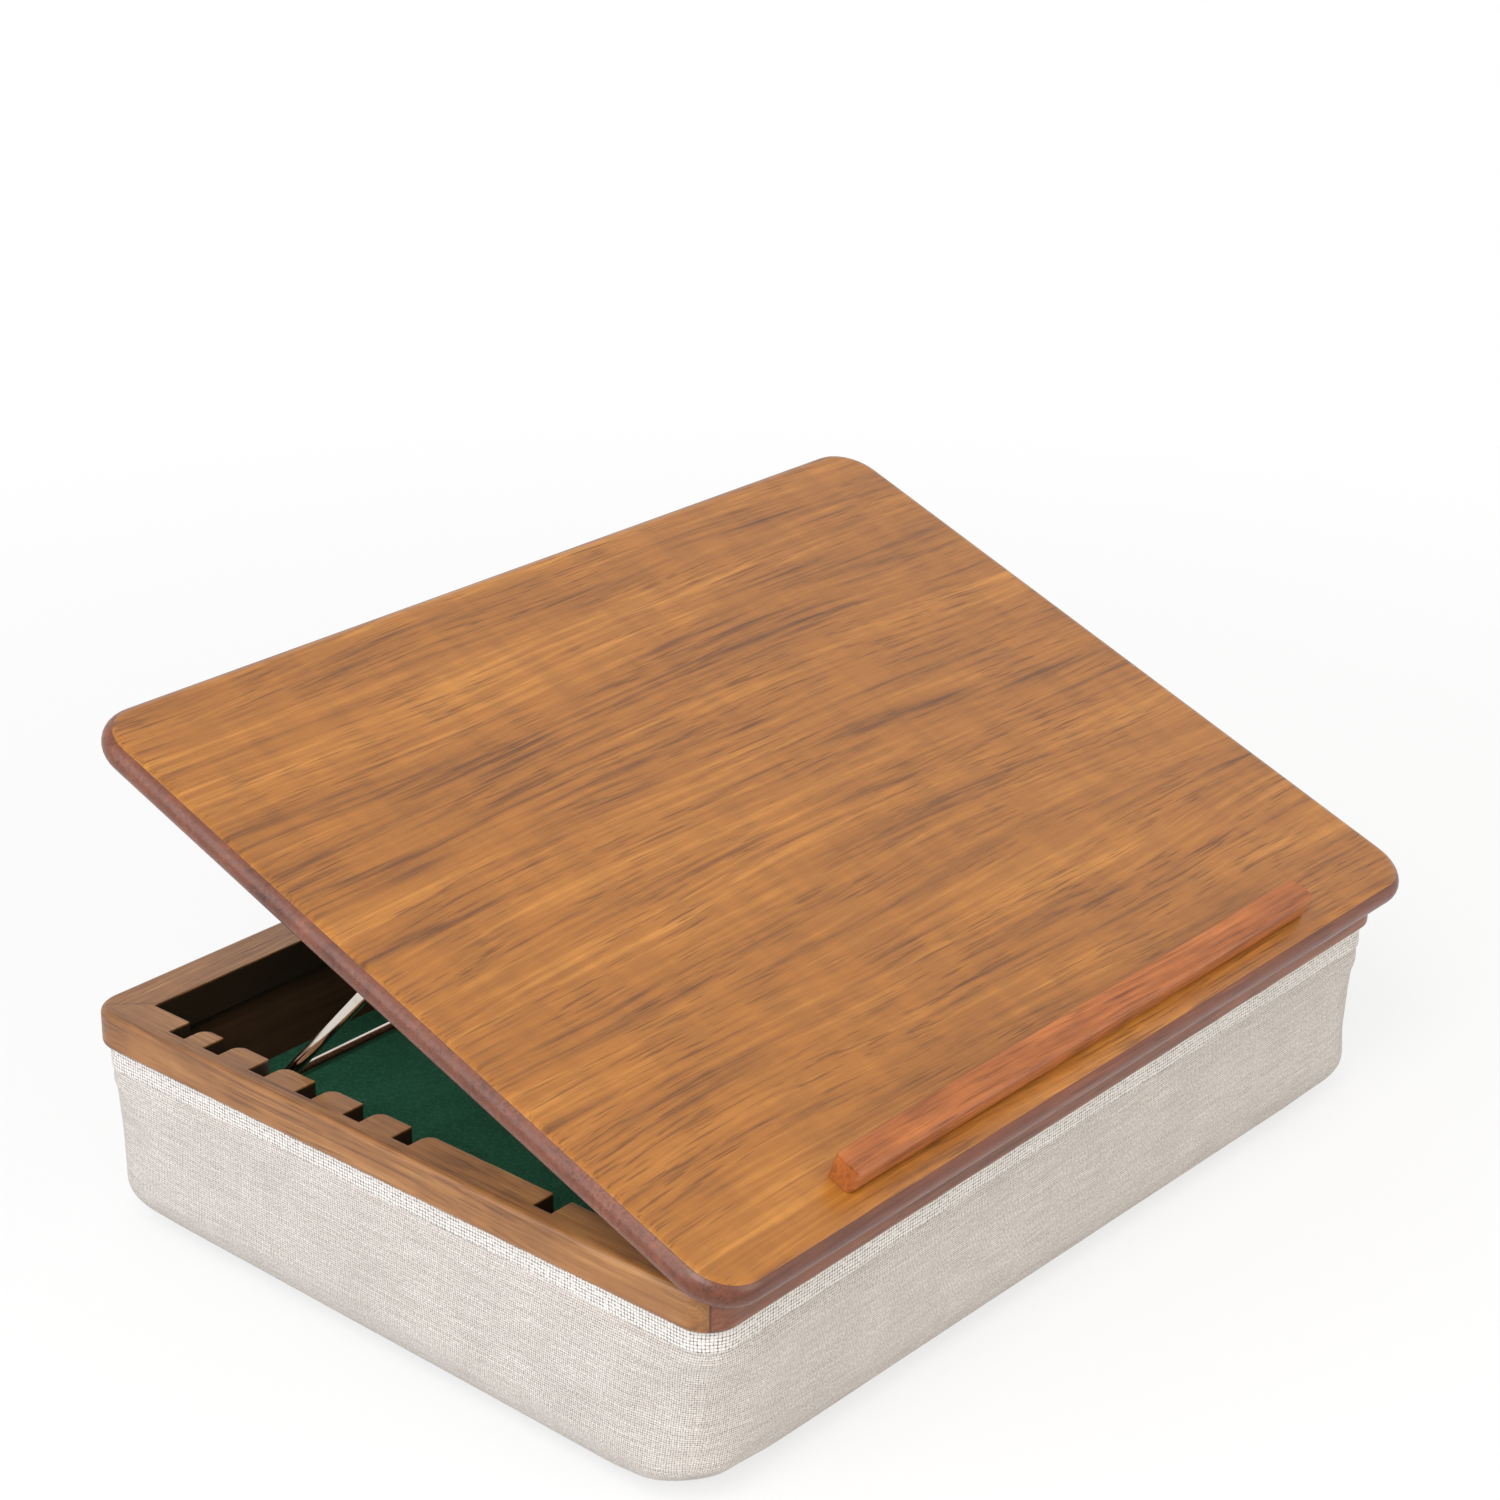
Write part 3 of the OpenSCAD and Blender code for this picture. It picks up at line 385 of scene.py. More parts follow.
@dataclass(frozen=True)
class TimberFinish(Finish):
    """Wood with its figure, pores and a clear coat."""

    pale: Colour
    middle: Colour
    dark: Colour
    run: GrainRun = GrainRun.ACROSS
    band_size: float = 30.0
    streak_size: float = 260.0
    contrast: float = 1.0
    pores: float = 0.5
    roughness: float = 0.42
    coat: float = 0.25
    arris: float = 0.0005
    # Share of painted highlight along every arris, lightening it towards the pale tone.
    edge_highlight: float = 0.25
    shift: tuple[float, float, float] = (0.0, 0.0, 0.0)
    specular: float = 0.4
    # Painted shade for the inner faces and notches of the rails, also the colour of the real dark mitre line.
    inner_shade_and_seam: Colour | None = None
    outside: tuple[float, float, float] = (194.5 * MM, 144.0 * MM, 85.5 * MM)

    def paint_inner_shade_and_seam(self, board: Board, spot: Socket, colour: Socket) -> Socket:
        """Paint shade on the inner faces and notches of a frame's rails, below their top, and draw the dark line of
        its mitres.

        Args:
            board: The material's tree.
            spot: The object coordinates.
            colour: The wood's colour.

        Returns:
            The changed colour.
        """
        x, y, z = board.place(spot)
        in_x = board.minus(self.outside[0], board.math("ABSOLUTE", x))
        in_y = board.minus(self.outside[1], board.math("ABSOLUTE", y))
        # Painted shade: everything more than 4 mm in from the outside and below the rails' top is darkened.
        deep = board.span(board.math("MINIMUM", in_x, in_y), 3.0 * MM, 4.0 * MM)
        low = board.span(z, self.outside[2] - 0.2 * MM, self.outside[2] - 0.9 * MM)
        inside = board.times(deep, low)
        # The mitre line is a real dark joint.
        seam = board.span(board.math("ABSOLUTE", board.minus(in_x, in_y)), 0.5 * MM, 0.15 * MM, 0.0, 0.7)
        return board.blend(board.math("MAXIMUM", inside, seam), colour, self.inner_shade_and_seam)

    def compose(self, board: Board, shader: bpy.types.Node, kit: ShaderKit) -> None:
        """Add the wood's nodes.

        Args:
            board: The material's tree.
            shader: Its Principled shader.
            kit: The shared groups.
        """
        spot = board.add("TexCoord").outputs["Object"]
        turn = 90.0 if self.run is GrainRun.DEPTH else 0.0
        inputs = {"Vector": spot, "Rotation": (0.0, 0.0, math.radians(turn)), "Location": self.shift}
        grain_at = board.add("Mapping", inputs).outputs[0]
        figure = self.group(
            board,
            kit.timber,
            {
                "Vector": grain_at,
                "Pale": self.pale,
                "Middle": self.middle,
                "Dark": self.dark,
                "Band Size": self.band_size,
                "Streak Size": self.streak_size,
                "Contrast": self.contrast,
                "Pores": self.pores,
            },
        )
        edge = self.group(board, kit.rounded, {"Radius": self.arris})
        # Painted highlight: the arrises are lightened towards the pale tone.
        edge_highlight = board.times(edge.outputs["Edge"], self.edge_highlight)
        colour = board.blend(edge_highlight, figure.outputs["Color"], self.pale)
        if self.inner_shade_and_seam:
            colour = self.paint_inner_shade_and_seam(board, spot, colour)
        sheen = self.group(board, kit.handling, {"Vector": spot, "Roughness": self.roughness, "Spread": 0.12})
        rough = board.plus(sheen.outputs["Roughness"], board.times(figure.outputs["Gloss"], 0.10))
        bump = board.add(
            "Bump",
            {
                "Strength": 0.22,
                "Distance": 0.3 * MM,
                "Height": figure.outputs["Height"],
                "Normal": edge.outputs["Normal"],
            },
        )
        inputs = {
            "Base Color": colour,
            "Roughness": rough,
            "Normal": bump.outputs[0],
            "Coat Weight": self.coat,
            "Coat Roughness": 0.22,
            "Specular IOR Level": self.specular,
        }
        board.fill(shader, inputs)


@dataclass(frozen=True)
class ClothFinish(Finish):
    """Woven linen on a piece's own map."""

    thread: Colour
    gap: Colour
    heather: Colour
    threads: float = 720.0
    depth: float = 0.0004
    slub: float = 1.0
    gap_share: float = 0.75

    def compose(self, board: Board, shader: bpy.types.Node, kit: ShaderKit) -> None:
        """Add the cloth's nodes.

        Args:
            board: The material's tree.
            shader: Its Principled shader.
            kit: The shared groups.
        """
        spot = board.add("UVMap", uv_map="cloth").outputs[0]
        weave = self.group(board, kit.weave, {"Vector": spot, "Threads": self.threads, "Slub": self.slub})
        heather = board.blend(weave.outputs["Heather"], self.heather, self.thread)
        cloud = board.noise(board.scaled(spot, (30.0, 30.0, 1.0)), 1.0, 3.0)
        tone = board.span(cloud, 0.3, 0.7, 0.96, 1.03)
        heather = board.shade(heather, tone)
        share = board.times(weave.outputs["Gap"], self.gap_share)
        board.feed(shader.inputs["Base Color"], board.blend(share, heather, self.gap))
        bump = board.add("Bump", {"Strength": 0.55, "Distance": self.depth, "Height": weave.outputs["Height"]})
        inputs = {
            "Normal": bump.outputs[0],
            "Roughness": board.span(cloud, 0.2, 0.8, 0.82, 0.94),
            "Sheen Weight": 0.12,
            "Sheen Roughness": 0.5,
            "Specular IOR Level": 0.15,
        }
        board.fill(shader, inputs)


@dataclass(frozen=True)
class FeltFinish(Finish):
    """Dense felt with a fine nap."""

    base: Colour
    fleck: Colour

    def compose(self, board: Board, shader: bpy.types.Node, kit: ShaderKit) -> None:
        """Add the felt's nodes.

        Args:
            board: The material's tree.
            shader: Its Principled shader.
            kit: The shared groups.
        """
        spot = board.add("TexCoord").outputs["Object"]
        nap = board.noise(spot, 900.0, 4.0, 0.7)
        cloud = board.noise(spot, 45.0, 3.0)
        fine = board.span(nap, 0.42, 0.72, 0.0, 0.75)
        broad = board.span(cloud, 0.35, 0.7, 0.0, 0.25)
        fleck = board.plus(fine, broad, clamp=True)
        board.feed(shader.inputs["Base Color"], board.blend(fleck, self.base, self.fleck))
        bump = board.add("Bump", {"Strength": 0.6, "Distance": 0.0004, "Height": nap})
        inputs = {
            "Normal": bump.outputs[0],
            "Roughness": board.span(cloud, 0.2, 0.8, 0.88, 0.98),
            "Sheen Weight": 0.35,
            "Sheen Roughness": 0.6,
            "Sheen Tint": self.fleck,
            "Specular IOR Level": 0.1,
        }
        board.fill(shader, inputs)


@dataclass(frozen=True)
class MetalFinish(Finish):
    """Plated or bare metal with faint drawing marks."""

    base: Colour
    tarnish: Colour
    roughness: float = 0.2
    spread: float = 0.1
    tarnish_share: float = 0.35

    def compose(self, board: Board, shader: bpy.types.Node, kit: ShaderKit) -> None:
        """Add the metal's nodes.

        Args:
            board: The material's tree.
            shader: Its Principled shader.
            kit: The shared groups.
        """
        spot = board.add("TexCoord").outputs["Object"]
        cloud = board.noise(spot, 70.0, 4.0, 0.6)
        share = board.span(cloud, 0.45, 0.8, 0.0, self.tarnish_share)
        sheen = self.group(board, kit.handling, {"Vector": spot, "Roughness": self.roughness, "Spread": self.spread})
        edge = self.group(board, kit.rounded, {"Radius": 0.0002})
        lines = board.noise(board.scaled(spot, (60.0, 900.0, 900.0)), 1.0, 2.0)
        bump = board.add(
            "Bump", {"Strength": 0.08, "Distance": 0.0001, "Height": lines, "Normal": edge.outputs["Normal"]}
        )
        inputs = {
            "Base Color": board.blend(share, self.base, self.tarnish),
            "Roughness": sheen.outputs["Roughness"],
            "Normal": bump.outputs[0],
            "Metallic": 1.0,
        }
        board.fill(shader, inputs)


@dataclass(frozen=True)
class FloorFinish(Finish):
    """Pale studio floor that the camera sees as white, with the desk's soft shadow kept."""

    base: Colour
    own_light: float = 0.72
    near: float = 0.3
    far: float = 1.0

    def compose(self, board: Board, shader: bpy.types.Node, kit: ShaderKit) -> None:
        """Add the floor's nodes.

        Args:
            board: The material's tree.
            shader: Its Principled shader.
            kit: The shared groups.
        """
        inputs = {
            "Base Color": self.base,
            "Roughness": 0.9,
            "Specular IOR Level": 0.0,
        }
        board.fill(shader, inputs)
        path = board.add("LightPath")
        seen = board.math("MAXIMUM", path.outputs["Is Camera Ray"], path.outputs["Is Glossy Ray"])
        white = board.add("Emission", {"Color": (1.0, 1.0, 1.0, 1.0), "Strength": 1.0})
        spot = board.add("TexCoord").outputs["Object"]
        away = board.add("VectorMath", {0: spot}, operation="LENGTH").outputs["Value"]
        share = board.times(seen, board.span(away, self.near, self.far, self.own_light, 1.0))
        mixed = board.add("MixShader", {0: share, 1: shader.outputs[0], 2: white.outputs[0]})
        output = next(n for n in board.tree.nodes if n.type == "OUTPUT_MATERIAL")
        board.feed(output.inputs["Surface"], mixed.outputs[0])


RAIL_TONES = (rgb(174, 125, 72), rgb(142, 93, 47), rgb(92, 55, 26))
# The walls' tones are darker than the rails' to paint the shade inside the compartment.
WALL_TONES_WITH_SHADE = (rgb(104, 72, 46), rgb(78, 50, 30), rgb(52, 32, 18))
RAIL: dict[str, Any] = {
    "band_size": 70.0,
    "streak_size": 520.0,
    "contrast": 1.1,
    "pores": 0.9,
    # Colour of the painted shade inside the rails and notches, and of the mitre lines.
    "inner_shade_and_seam": rgb(46, 28, 15),
}
WALL: dict[str, Any] = {"band_size": 48.0, "roughness": 0.55, "coat": 0.1}


class Palette:
    """Every finish of the desk."""

    side_rail = TimberFinish("side_rail_wood", *RAIL_TONES, run=GrainRun.DEPTH, roughness=0.46, **RAIL)
    rear_rail = TimberFinish("rear_rail_wood", *RAIL_TONES, roughness=0.46, shift=(0.3, 0.2, 0.1), **RAIL)
    front_rail = TimberFinish(
        "front_rail_wood", rgb(150, 98, 66), rgb(120, 70, 46), rgb(80, 42, 28), roughness=0.42,
        shift=(0.1, 0.5, 0.2), **RAIL,
    )
    dowel = TimberFinish("dowel_wood", rgb(214, 180, 134), rgb(196, 160, 112), rgb(160, 120, 80), pores=0.2)
    side_wall = TimberFinish("side_wall_wood", *WALL_TONES_WITH_SHADE, run=GrainRun.DEPTH, **WALL)
    end_wall = TimberFinish("end_wall_wood", *WALL_TONES_WITH_SHADE, **WALL)
    panel = TimberFinish(
        "floor_panel_ply", rgb(206, 176, 132), rgb(186, 150, 104), rgb(150, 112, 72), roughness=0.7, coat=0.0,
    )
    veneer = TimberFinish(
        "lid_veneer_wood", rgb(188, 126, 52), rgb(156, 97, 34), rgb(92, 52, 17), band_size=46.0,
        streak_size=420.0, contrast=1.0, pores=1.0, roughness=0.36, coat=0.2, arris=0.0003,
    )
    lid_edge = TimberFinish(
        "lid_edge_wood", rgb(132, 74, 48), rgb(104, 54, 33), rgb(66, 31, 18), band_size=60.0,
        streak_size=520.0, contrast=0.9, pores=0.8, roughness=0.36, coat=0.2, edge_highlight=0.0,
    )
    backer = TimberFinish(
        "lid_backer_wood", rgb(150, 104, 64), rgb(122, 80, 48), rgb(88, 56, 34), roughness=0.55, coat=0.1,
    )
    ledge = TimberFinish(
        "ledge_wood", rgb(190, 114, 56), rgb(160, 90, 40), rgb(104, 54, 22), band_size=120.0,
        streak_size=620.0, contrast=1.0, pores=1.0, roughness=0.42, coat=0.12, edge_highlight=0.15,
    )
    cover = ClothFinish(
        "cover_linen", rgb(226, 220, 214), rgb(118, 108, 102), rgb(190, 181, 174), threads=1180.0,
        gap_share=0.9,
    )
    bottom = ClothFinish(
        "bottom_linen", rgb(224, 218, 210), rgb(146, 138, 128), rgb(198, 190, 180), threads=620.0,
    )
    binding = ClothFinish(
        "binding_linen", rgb(236, 231, 226), rgb(112, 106, 104), rgb(214, 208, 202), threads=800.0, slub=0.6,
        gap_share=1.0,
    )
    filling = ClothFinish(
        "cushion_wadding", rgb(240, 238, 232), rgb(220, 216, 208), rgb(232, 228, 220), threads=200.0,
        gap_share=0.2,
    )
    felt = FeltFinish("green_felt", rgb(32, 80, 59), rgb(60, 116, 88))
    brad = MetalFinish("bright_steel", rgb(196, 196, 194), rgb(150, 146, 140), 0.32)
    screw = MetalFinish("zinc_steel", rgb(198, 198, 194), rgb(156, 152, 144), 0.3)
    brass = MetalFinish("hinge_brass", rgb(206, 172, 110), rgb(150, 116, 66), 0.28)
    pin = MetalFinish("pin_brass", rgb(196, 160, 98), rgb(140, 106, 60), 0.24)
    wire = MetalFinish("nickel_wire", rgb(214, 206, 196), rgb(150, 134, 118), 0.12, 0.06)
    clip = MetalFinish("nickel_strip", rgb(196, 190, 180), rgb(146, 136, 124), 0.26)
    floor = FloorFinish("studio_floor", rgb(236, 236, 236))


class Workshop:
    """Calls that shape meshes with Blender's own tools."""

    @staticmethod
    def clear() -> None:
        """Deselect everything."""
        if bpy.context.object and bpy.context.object.mode != "OBJECT":
            bpy.ops.object.mode_set(mode="OBJECT")
        bpy.ops.object.select_all(action="DESELECT")

    @staticmethod
    def take(piece: bpy.types.Object) -> None:
        """Select one object alone and make it the active one."""
        Workshop.clear()
        piece.select_set(True)
        bpy.context.view_layer.objects.active = piece

    @staticmethod
    def settle(piece: bpy.types.Object) -> bpy.types.Object:
        """Put a piece's place into its mesh, so that its object sits at the origin."""
        Workshop.take(piece)
        bpy.ops.object.transform_apply(location=True, rotation=True, scale=True)
        return piece

    @staticmethod
    def finish_modifier(piece: bpy.types.Object, kind: str, **settings: Any) -> None:
        """Add a modifier, set it and apply it.

        Args:
            piece: The object.
            kind: The modifier's type.
            **settings: Its attributes.
        """
        Workshop.take(piece)
        modifier = piece.modifiers.new(kind.lower(), kind)
        for name, value in settings.items():
            setattr(modifier, name, value)
        bpy.ops.object.modifier_apply(modifier=modifier.name)

    @staticmethod
    def points_of(piece: bpy.types.Object) -> np.ndarray:
        """Return the places of a mesh's points, one row each."""
        return np.array([v.co for v in piece.data.vertices])

    @staticmethod
    def move_points(piece: bpy.types.Object, points: np.ndarray) -> None:
        """Put a mesh's points at new places."""
        piece.data.vertices.foreach_set("co", points.astype(np.float32).ravel())
        piece.data.update()

    @staticmethod
    def smooth(piece: bpy.types.Object, degrees: float = 35.0) -> None:
        """Shade a piece smooth up to an angle."""
        Workshop.take(piece)
        bpy.ops.object.shade_smooth_by_angle(angle=math.radians(degrees))

    @staticmethod
    def dress(piece: bpy.types.Object, material: bpy.types.Material) -> None:
        """Give a piece one material."""
        if piece.data.materials:
            for index in range(len(piece.data.materials)):
                piece.data.materials[index] = material
        else:
            piece.data.materials.append(material)


@dataclass(frozen=True)
class Lamp:
    """A soft square lamp that faces the desk."""

    name: str
    place: tuple[float, float, float]
    power: float
    tint: tuple[float, float, float]
    size: float = 1.2
    aim: tuple[float, float, float] = (0.0, 0.0, 0.08)

    def hang(self) -> None:
        """Add the lamp to the scene."""
        data = bpy.data.lights.new(self.name, "AREA")
        data.energy = self.power
        data.size = self.size
        data.color = self.tint
        lamp = bpy.data.objects.new(self.name, data)
        lamp.location = self.place
        lamp.rotation_euler = (Vector(self.aim) - Vector(self.place)).to_track_quat("-Z", "Y").to_euler()
        bpy.context.scene.collection.objects.link(lamp)


LAMPS = (
    Lamp("key", (-1.5, -0.7, 1.7), 34.0, (1.0, 0.985, 0.96), size=1.3),
    Lamp("left_fill", (-1.7, 0.6, 0.7), 12.0, (0.88, 0.94, 1.0)),
    Lamp("front_fill", (0.5, -1.9, 0.8), 14.0, (1.0, 0.95, 0.86)),
)


@dataclass
class Studio:
    """Camera, lamps, floor and world, set for the photograph's view."""

    camera_at: tuple[float, float, float] = (-0.8299, -0.6861, 0.6201)
    azimuth: float = 50.12
    elevation: float = 23.06
    roll: float = 0.93
    lens: float = 79.16
    world_level: float = 0.62
    sensor: float = 36.0
    floor_size: float = 30.0
    floor_drop: float = 0.2 * MM

    def build(self, kit: ShaderKit) -> None:
        """Set up the whole studio.

        Args:
            kit: The shared node groups.
        """
        self._camera()
        for lamp in LAMPS:
            lamp.hang()
        self._world()
        self._floor(kit)

    def _camera(self) -> None:
        """Place the camera where the photograph was taken from."""
        data = bpy.data.cameras.new("photo_camera")
        data.lens = self.lens
        data.sensor_width = self.sensor
        data.clip_start = 0.01
        az, el, roll = (math.radians(a) for a in (self.azimuth, self.elevation, self.roll))
        ahead = Vector((math.sin(az) * math.cos(el), math.cos(az) * math.cos(el), -math.sin(el)))
        right = Vector((math.cos(az), -math.sin(az), 0.0))
        up = right.cross(ahead)
        turned_right = math.cos(roll) * right + math.sin(roll) * up
        turned_up = -math.sin(roll) * right + math.cos(roll) * up
        camera = bpy.data.objects.new("photo_camera", data)
        bpy.context.scene.collection.objects.link(camera)
        turn = Matrix((turned_right, turned_up, -ahead)).transposed().to_4x4()
        camera.matrix_world = Matrix.Translation(self.camera_at) @ turn
        bpy.context.scene.camera = camera

    def _world(self) -> None:
        """Even pale light from all round, white where the camera looks past the desk."""
        world = bpy.data.worlds.new("studio_world")
        world.use_nodes = True
        bpy.context.scene.world = world
        board = Board(world.node_tree)
        for node in list(world.node_tree.nodes):
            world.node_tree.nodes.remove(node)
        path = board.add("LightPath")
        seen = board.math("MAXIMUM", path.outputs["Is Camera Ray"], path.outputs["Is Glossy Ray"])
        soft = board.add("Background", {"Color": (1.0, 1.0, 1.0, 1.0), "Strength": self.world_level})
        white = board.add("Background", {"Color": (1.0, 1.0, 1.0, 1.0), "Strength": 1.0})
        mixed = board.add("MixShader", {0: seen, 1: soft.outputs[0], 2: white.outputs[0]})
        board.add("OutputWorld", {"Surface": mixed.outputs[0]})

    def _floor(self, kit: ShaderKit) -> None:
        """Lay the pale floor.

        Args:
            kit: The shared node groups.
        """
        Workshop.clear()
        bpy.ops.mesh.primitive_plane_add(size=self.floor_size, location=(0.0, 0.0, -self.floor_drop))
        floor = Workshop.settle(bpy.context.object)
        floor.name = "studio_floor"
        Workshop.dress(floor, Palette.floor.build(kit))


class Assembly:
    """A sub-assembly of the desk: it finishes its CAD nodes and adds its own pieces."""

    title = "assembly"
    coats: dict[str, Finish] = {}

    def __init__(self, frame: dict[str, Any], kit: ShaderKit) -> None:
        """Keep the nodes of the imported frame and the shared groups."""
        self.nodes: dict[str, bpy.types.Object] = frame["nodes"]
        self.kit = kit

    def paint(self) -> None:
        """Give every CAD node of the sub-assembly its finish."""
        for name, finish in self.coats.items():
            node = self.nodes[name]
            Workshop.dress(node, finish.build(self.kit))
            LOG.info("%s: %s finished as %s", self.title, name, finish.name)

    def build(self) -> None:
        """Finish the nodes and make the extra pieces."""
        self.paint()


class RailFrame(Assembly):
    """The four mitred rails and the dowels under them."""

    title = "rail frame"
    coats = {
        "left_rail": Palette.side_rail,
        "right_rail": Palette.side_rail,
        "front_rail": Palette.front_rail,
        "rear_rail": Palette.rear_rail,
        "rail_dowels": Palette.dowel,
    }


class Compartment(Assembly):
    """Walls, floor panel and felt."""

    title = "compartment"
    coats = {
        "left_wall": Palette.side_wall,
        "right_wall": Palette.side_wall,
        "front_wall": Palette.end_wall,
        "rear_wall": Palette.end_wall,
        "floor_panel": Palette.panel,
        "floor_brads": Palette.brad,
    }
    felt_round = 0.6 * MM

    def build(self) -> None:
        """Finish the boards and lay the felt."""
        self.paint()
        low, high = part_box("felt_lining")
        middle = (low + high) / 2
        Workshop.clear()
        bpy.ops.mesh.primitive_cube_add(size=1.0, location=middle, scale=high - low)
        felt = Workshop.settle(bpy.context.object)
        felt.name = "felt_sheet"
        Workshop.take(felt)
        bpy.ops.object.mode_set(mode="EDIT")
        bpy.ops.mesh.select_all(action="DESELECT")
        mesh = bmesh.from_edit_mesh(felt.data)
        for edge in mesh.edges:
            edge.select_set(all(v.co.z > middle.z for v in edge.verts))
        bmesh.update_edit_mesh(felt.data)
        bpy.ops.mesh.bevel(offset=self.felt_round, segments=3, affect="EDGES")
        bpy.ops.object.mode_set(mode="OBJECT")
        Workshop.smooth(felt, 50.0)
        Workshop.dress(felt, Palette.felt.build(self.kit))
        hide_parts("felt_lining")
        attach(felt, "base")
        LOG.info("%s: felt laid", self.title)


class Lid(Assembly):
    """The board with its two veneers, and the ledge."""

    title = "lid"
    coats = {
        "lid_core": Palette.lid_edge,
        "lid_veneer": Palette.veneer,
        "lid_backer": Palette.backer,
        "ledge": Palette.ledge,
        "ledge_screws": Palette.screw,
    }


class Hinges(Assembly):
    """Both butt hinges and their screws."""

    title = "hinges"
    coats = {
        **{f"{side}_{leaf}_leaf": Palette.brass for side in ("left", "right") for leaf in ("rail", "lid")},
        "left_hinge_pin": Palette.pin,
        "right_hinge_pin": Palette.pin,
        "rail_leaf_screws": Palette.brass,
        "lid_leaf_screws": Palette.brass,
    }


class WireStand(Assembly):
    """The bent wire, its foot rod, and the clips that hold it."""

    title = "wire stand"
    coats = {
        "stand_wire": Palette.wire,
        "foot_rod": Palette.wire,
        "left_clip": Palette.clip,
        "right_clip": Palette.clip,
        "clip_screws": Palette.screw,
    }


@dataclass
class CushionForm:
    """The outside of the cushion as sections, in metres, with the same sizes as its solids."""

    half_x: float = 191.5 * MM
    half_y: float = 141.0 * MM
    top: float = 71.4 * MM
    hem: float = 7.5 * MM
    thickness: float = 1.2 * MM
    flush_at: float = 59.0 * MM
    turn_at: float = 16.5 * MM
    turn_radius: float = 14.0 * MM
    band_out: float = 1.1 * MM
    swell: float = 3.4 * MM
    draw_in: float = 0.5 * MM
    hollow: float = 0.5 * MM
    top_radius: float = 11.0 * MM
    bottom_radius: float = 20.0 * MM
    seam_share: float = 0.8454
    seam_gap: float = 0.002
    panel_share: float = 0.5
    panel_rings: int = 12
    twist: float = -1.25
    corner_lift: float = 4.6 * MM
    band_clear: float = 8.0 * MM
    band_ease: float = 5.0 * MM
    hollow_full: float = 38.0 * MM
    hem_radius: float = 6.0 * MM
    hem_fold: float = 3.4 * MM
    corner_from: tuple[float, float] = (150.0 * MM, 105.0 * MM)
    corner_over: tuple[float, float] = (35.0 * MM, 30.0 * MM)
    far_lift: float = 0.45
    lift_below: float = 28.0 * MM
    lift_over: float = 26.0 * MM
    crease_at: float = 54.3 * MM
    crease_deep: float = 0.85
    crease_wide: float = 2.6 * MM
    arc_steps: int = 14
    long_steps: int = 70
    short_steps: int = 50

    def at_height(self, z: float) -> tuple[float, float, float]:
        """Draw-in of the sides, draw-in of the ends and corner radius at a height.

        Args:
            z: The height in metres.

        Returns:
            All three in metres.
        """
        k = min(max((self.flush_at - z) / (self.flush_at - self.turn_at), 0.0), 1.0)
        out = min(max((self.top - self.band_clear - z) / self.band_ease, 0.0), 1.0)
        start = -self.band_out * out
        draw_x = start + (self.band_out - self.swell) * k
        draw_y = start + (self.band_out + self.draw_in) * k
        return draw_x, draw_y, self.top_radius + (self.bottom_radius - self.top_radius) * k

    def side_ring(self, z: float, inner: float = 0.0) -> np.ndarray:
        """One section of the upright side.

        Args:
            z: Its height.
            inner: How far inside the surface it runs.

        Returns:
            Its points.
        """
        draw_x, draw_y, radius = self.at_height(z)
        hollow = self.hollow * min(1.0, (self.top - z) / self.hollow_full)
        return self.ring(self.half_x - draw_x - inner, self.half_y - draw_y - inner, radius - inner, z, hollow)

    def turned_ring(self, degrees: float, inner: float = 0.0) -> np.ndarray:
        """One section of the rounding between side and underside.

        Args:
            degrees: How far round it lies, from 0 at the side to 90 at the underside.
            inner: How far inside the surface it runs.

        Returns:
            Its points.
        """
        a = math.radians(degrees)
        radius = self.turn_radius - inner
        inset = radius * (1 - math.cos(a)) + inner
        z = self.turn_at - radius * math.sin(a)
        half_x, half_y = self.half_x + self.swell - inset, self.half_y - self.draw_in - inset
        return self.ring(half_x, half_y, self.bottom_radius - inner, z, self.hollow * math.cos(a))

    def ring(self, half_x: float, half_y: float, radius: float, z: float, hollow: float) -> np.ndarray:
        """Points of one rounded section, anticlockwise from the right-hand side.

        Args:
            half_x: Half the width.
            half_y: Half the depth.
            radius: The corner radius.
            z: The height.
            hollow: How far the middle of a side is drawn in.

        Returns:
            One row for each point.
        """
        run_x, run_y = half_x - radius, half_y - radius
        points: list[tuple[float, float, float]] = []
        for corner in range(4):
            sx = 1.0 if corner in (0, 3) else -1.0
            sy = 1.0 if corner < 2 else -1.0
            for step in range(self.arc_steps + 1):
                a = math.pi / 2 * (corner + step / self.arc_steps)
                points.append((sx * run_x + radius * math.cos(a), sy * run_y + radius * math.sin(a), z))
            steps = self.long_steps if corner in (0, 2) else self.short_steps
            for step in range(1, steps):
                k = step / steps
                dip = hollow * math.sin(math.pi * k)
                along = 1.0 - 2.0 * k
                points.append(
                    (
                        (run_x * along, half_y - dip, z),
                        (-half_x + dip, run_y * along, z),
                        (-run_x * along, -half_y + dip, z),
                        (half_x - dip, -run_y * along, z),
                    )[corner]
                )
        return np.array(points)

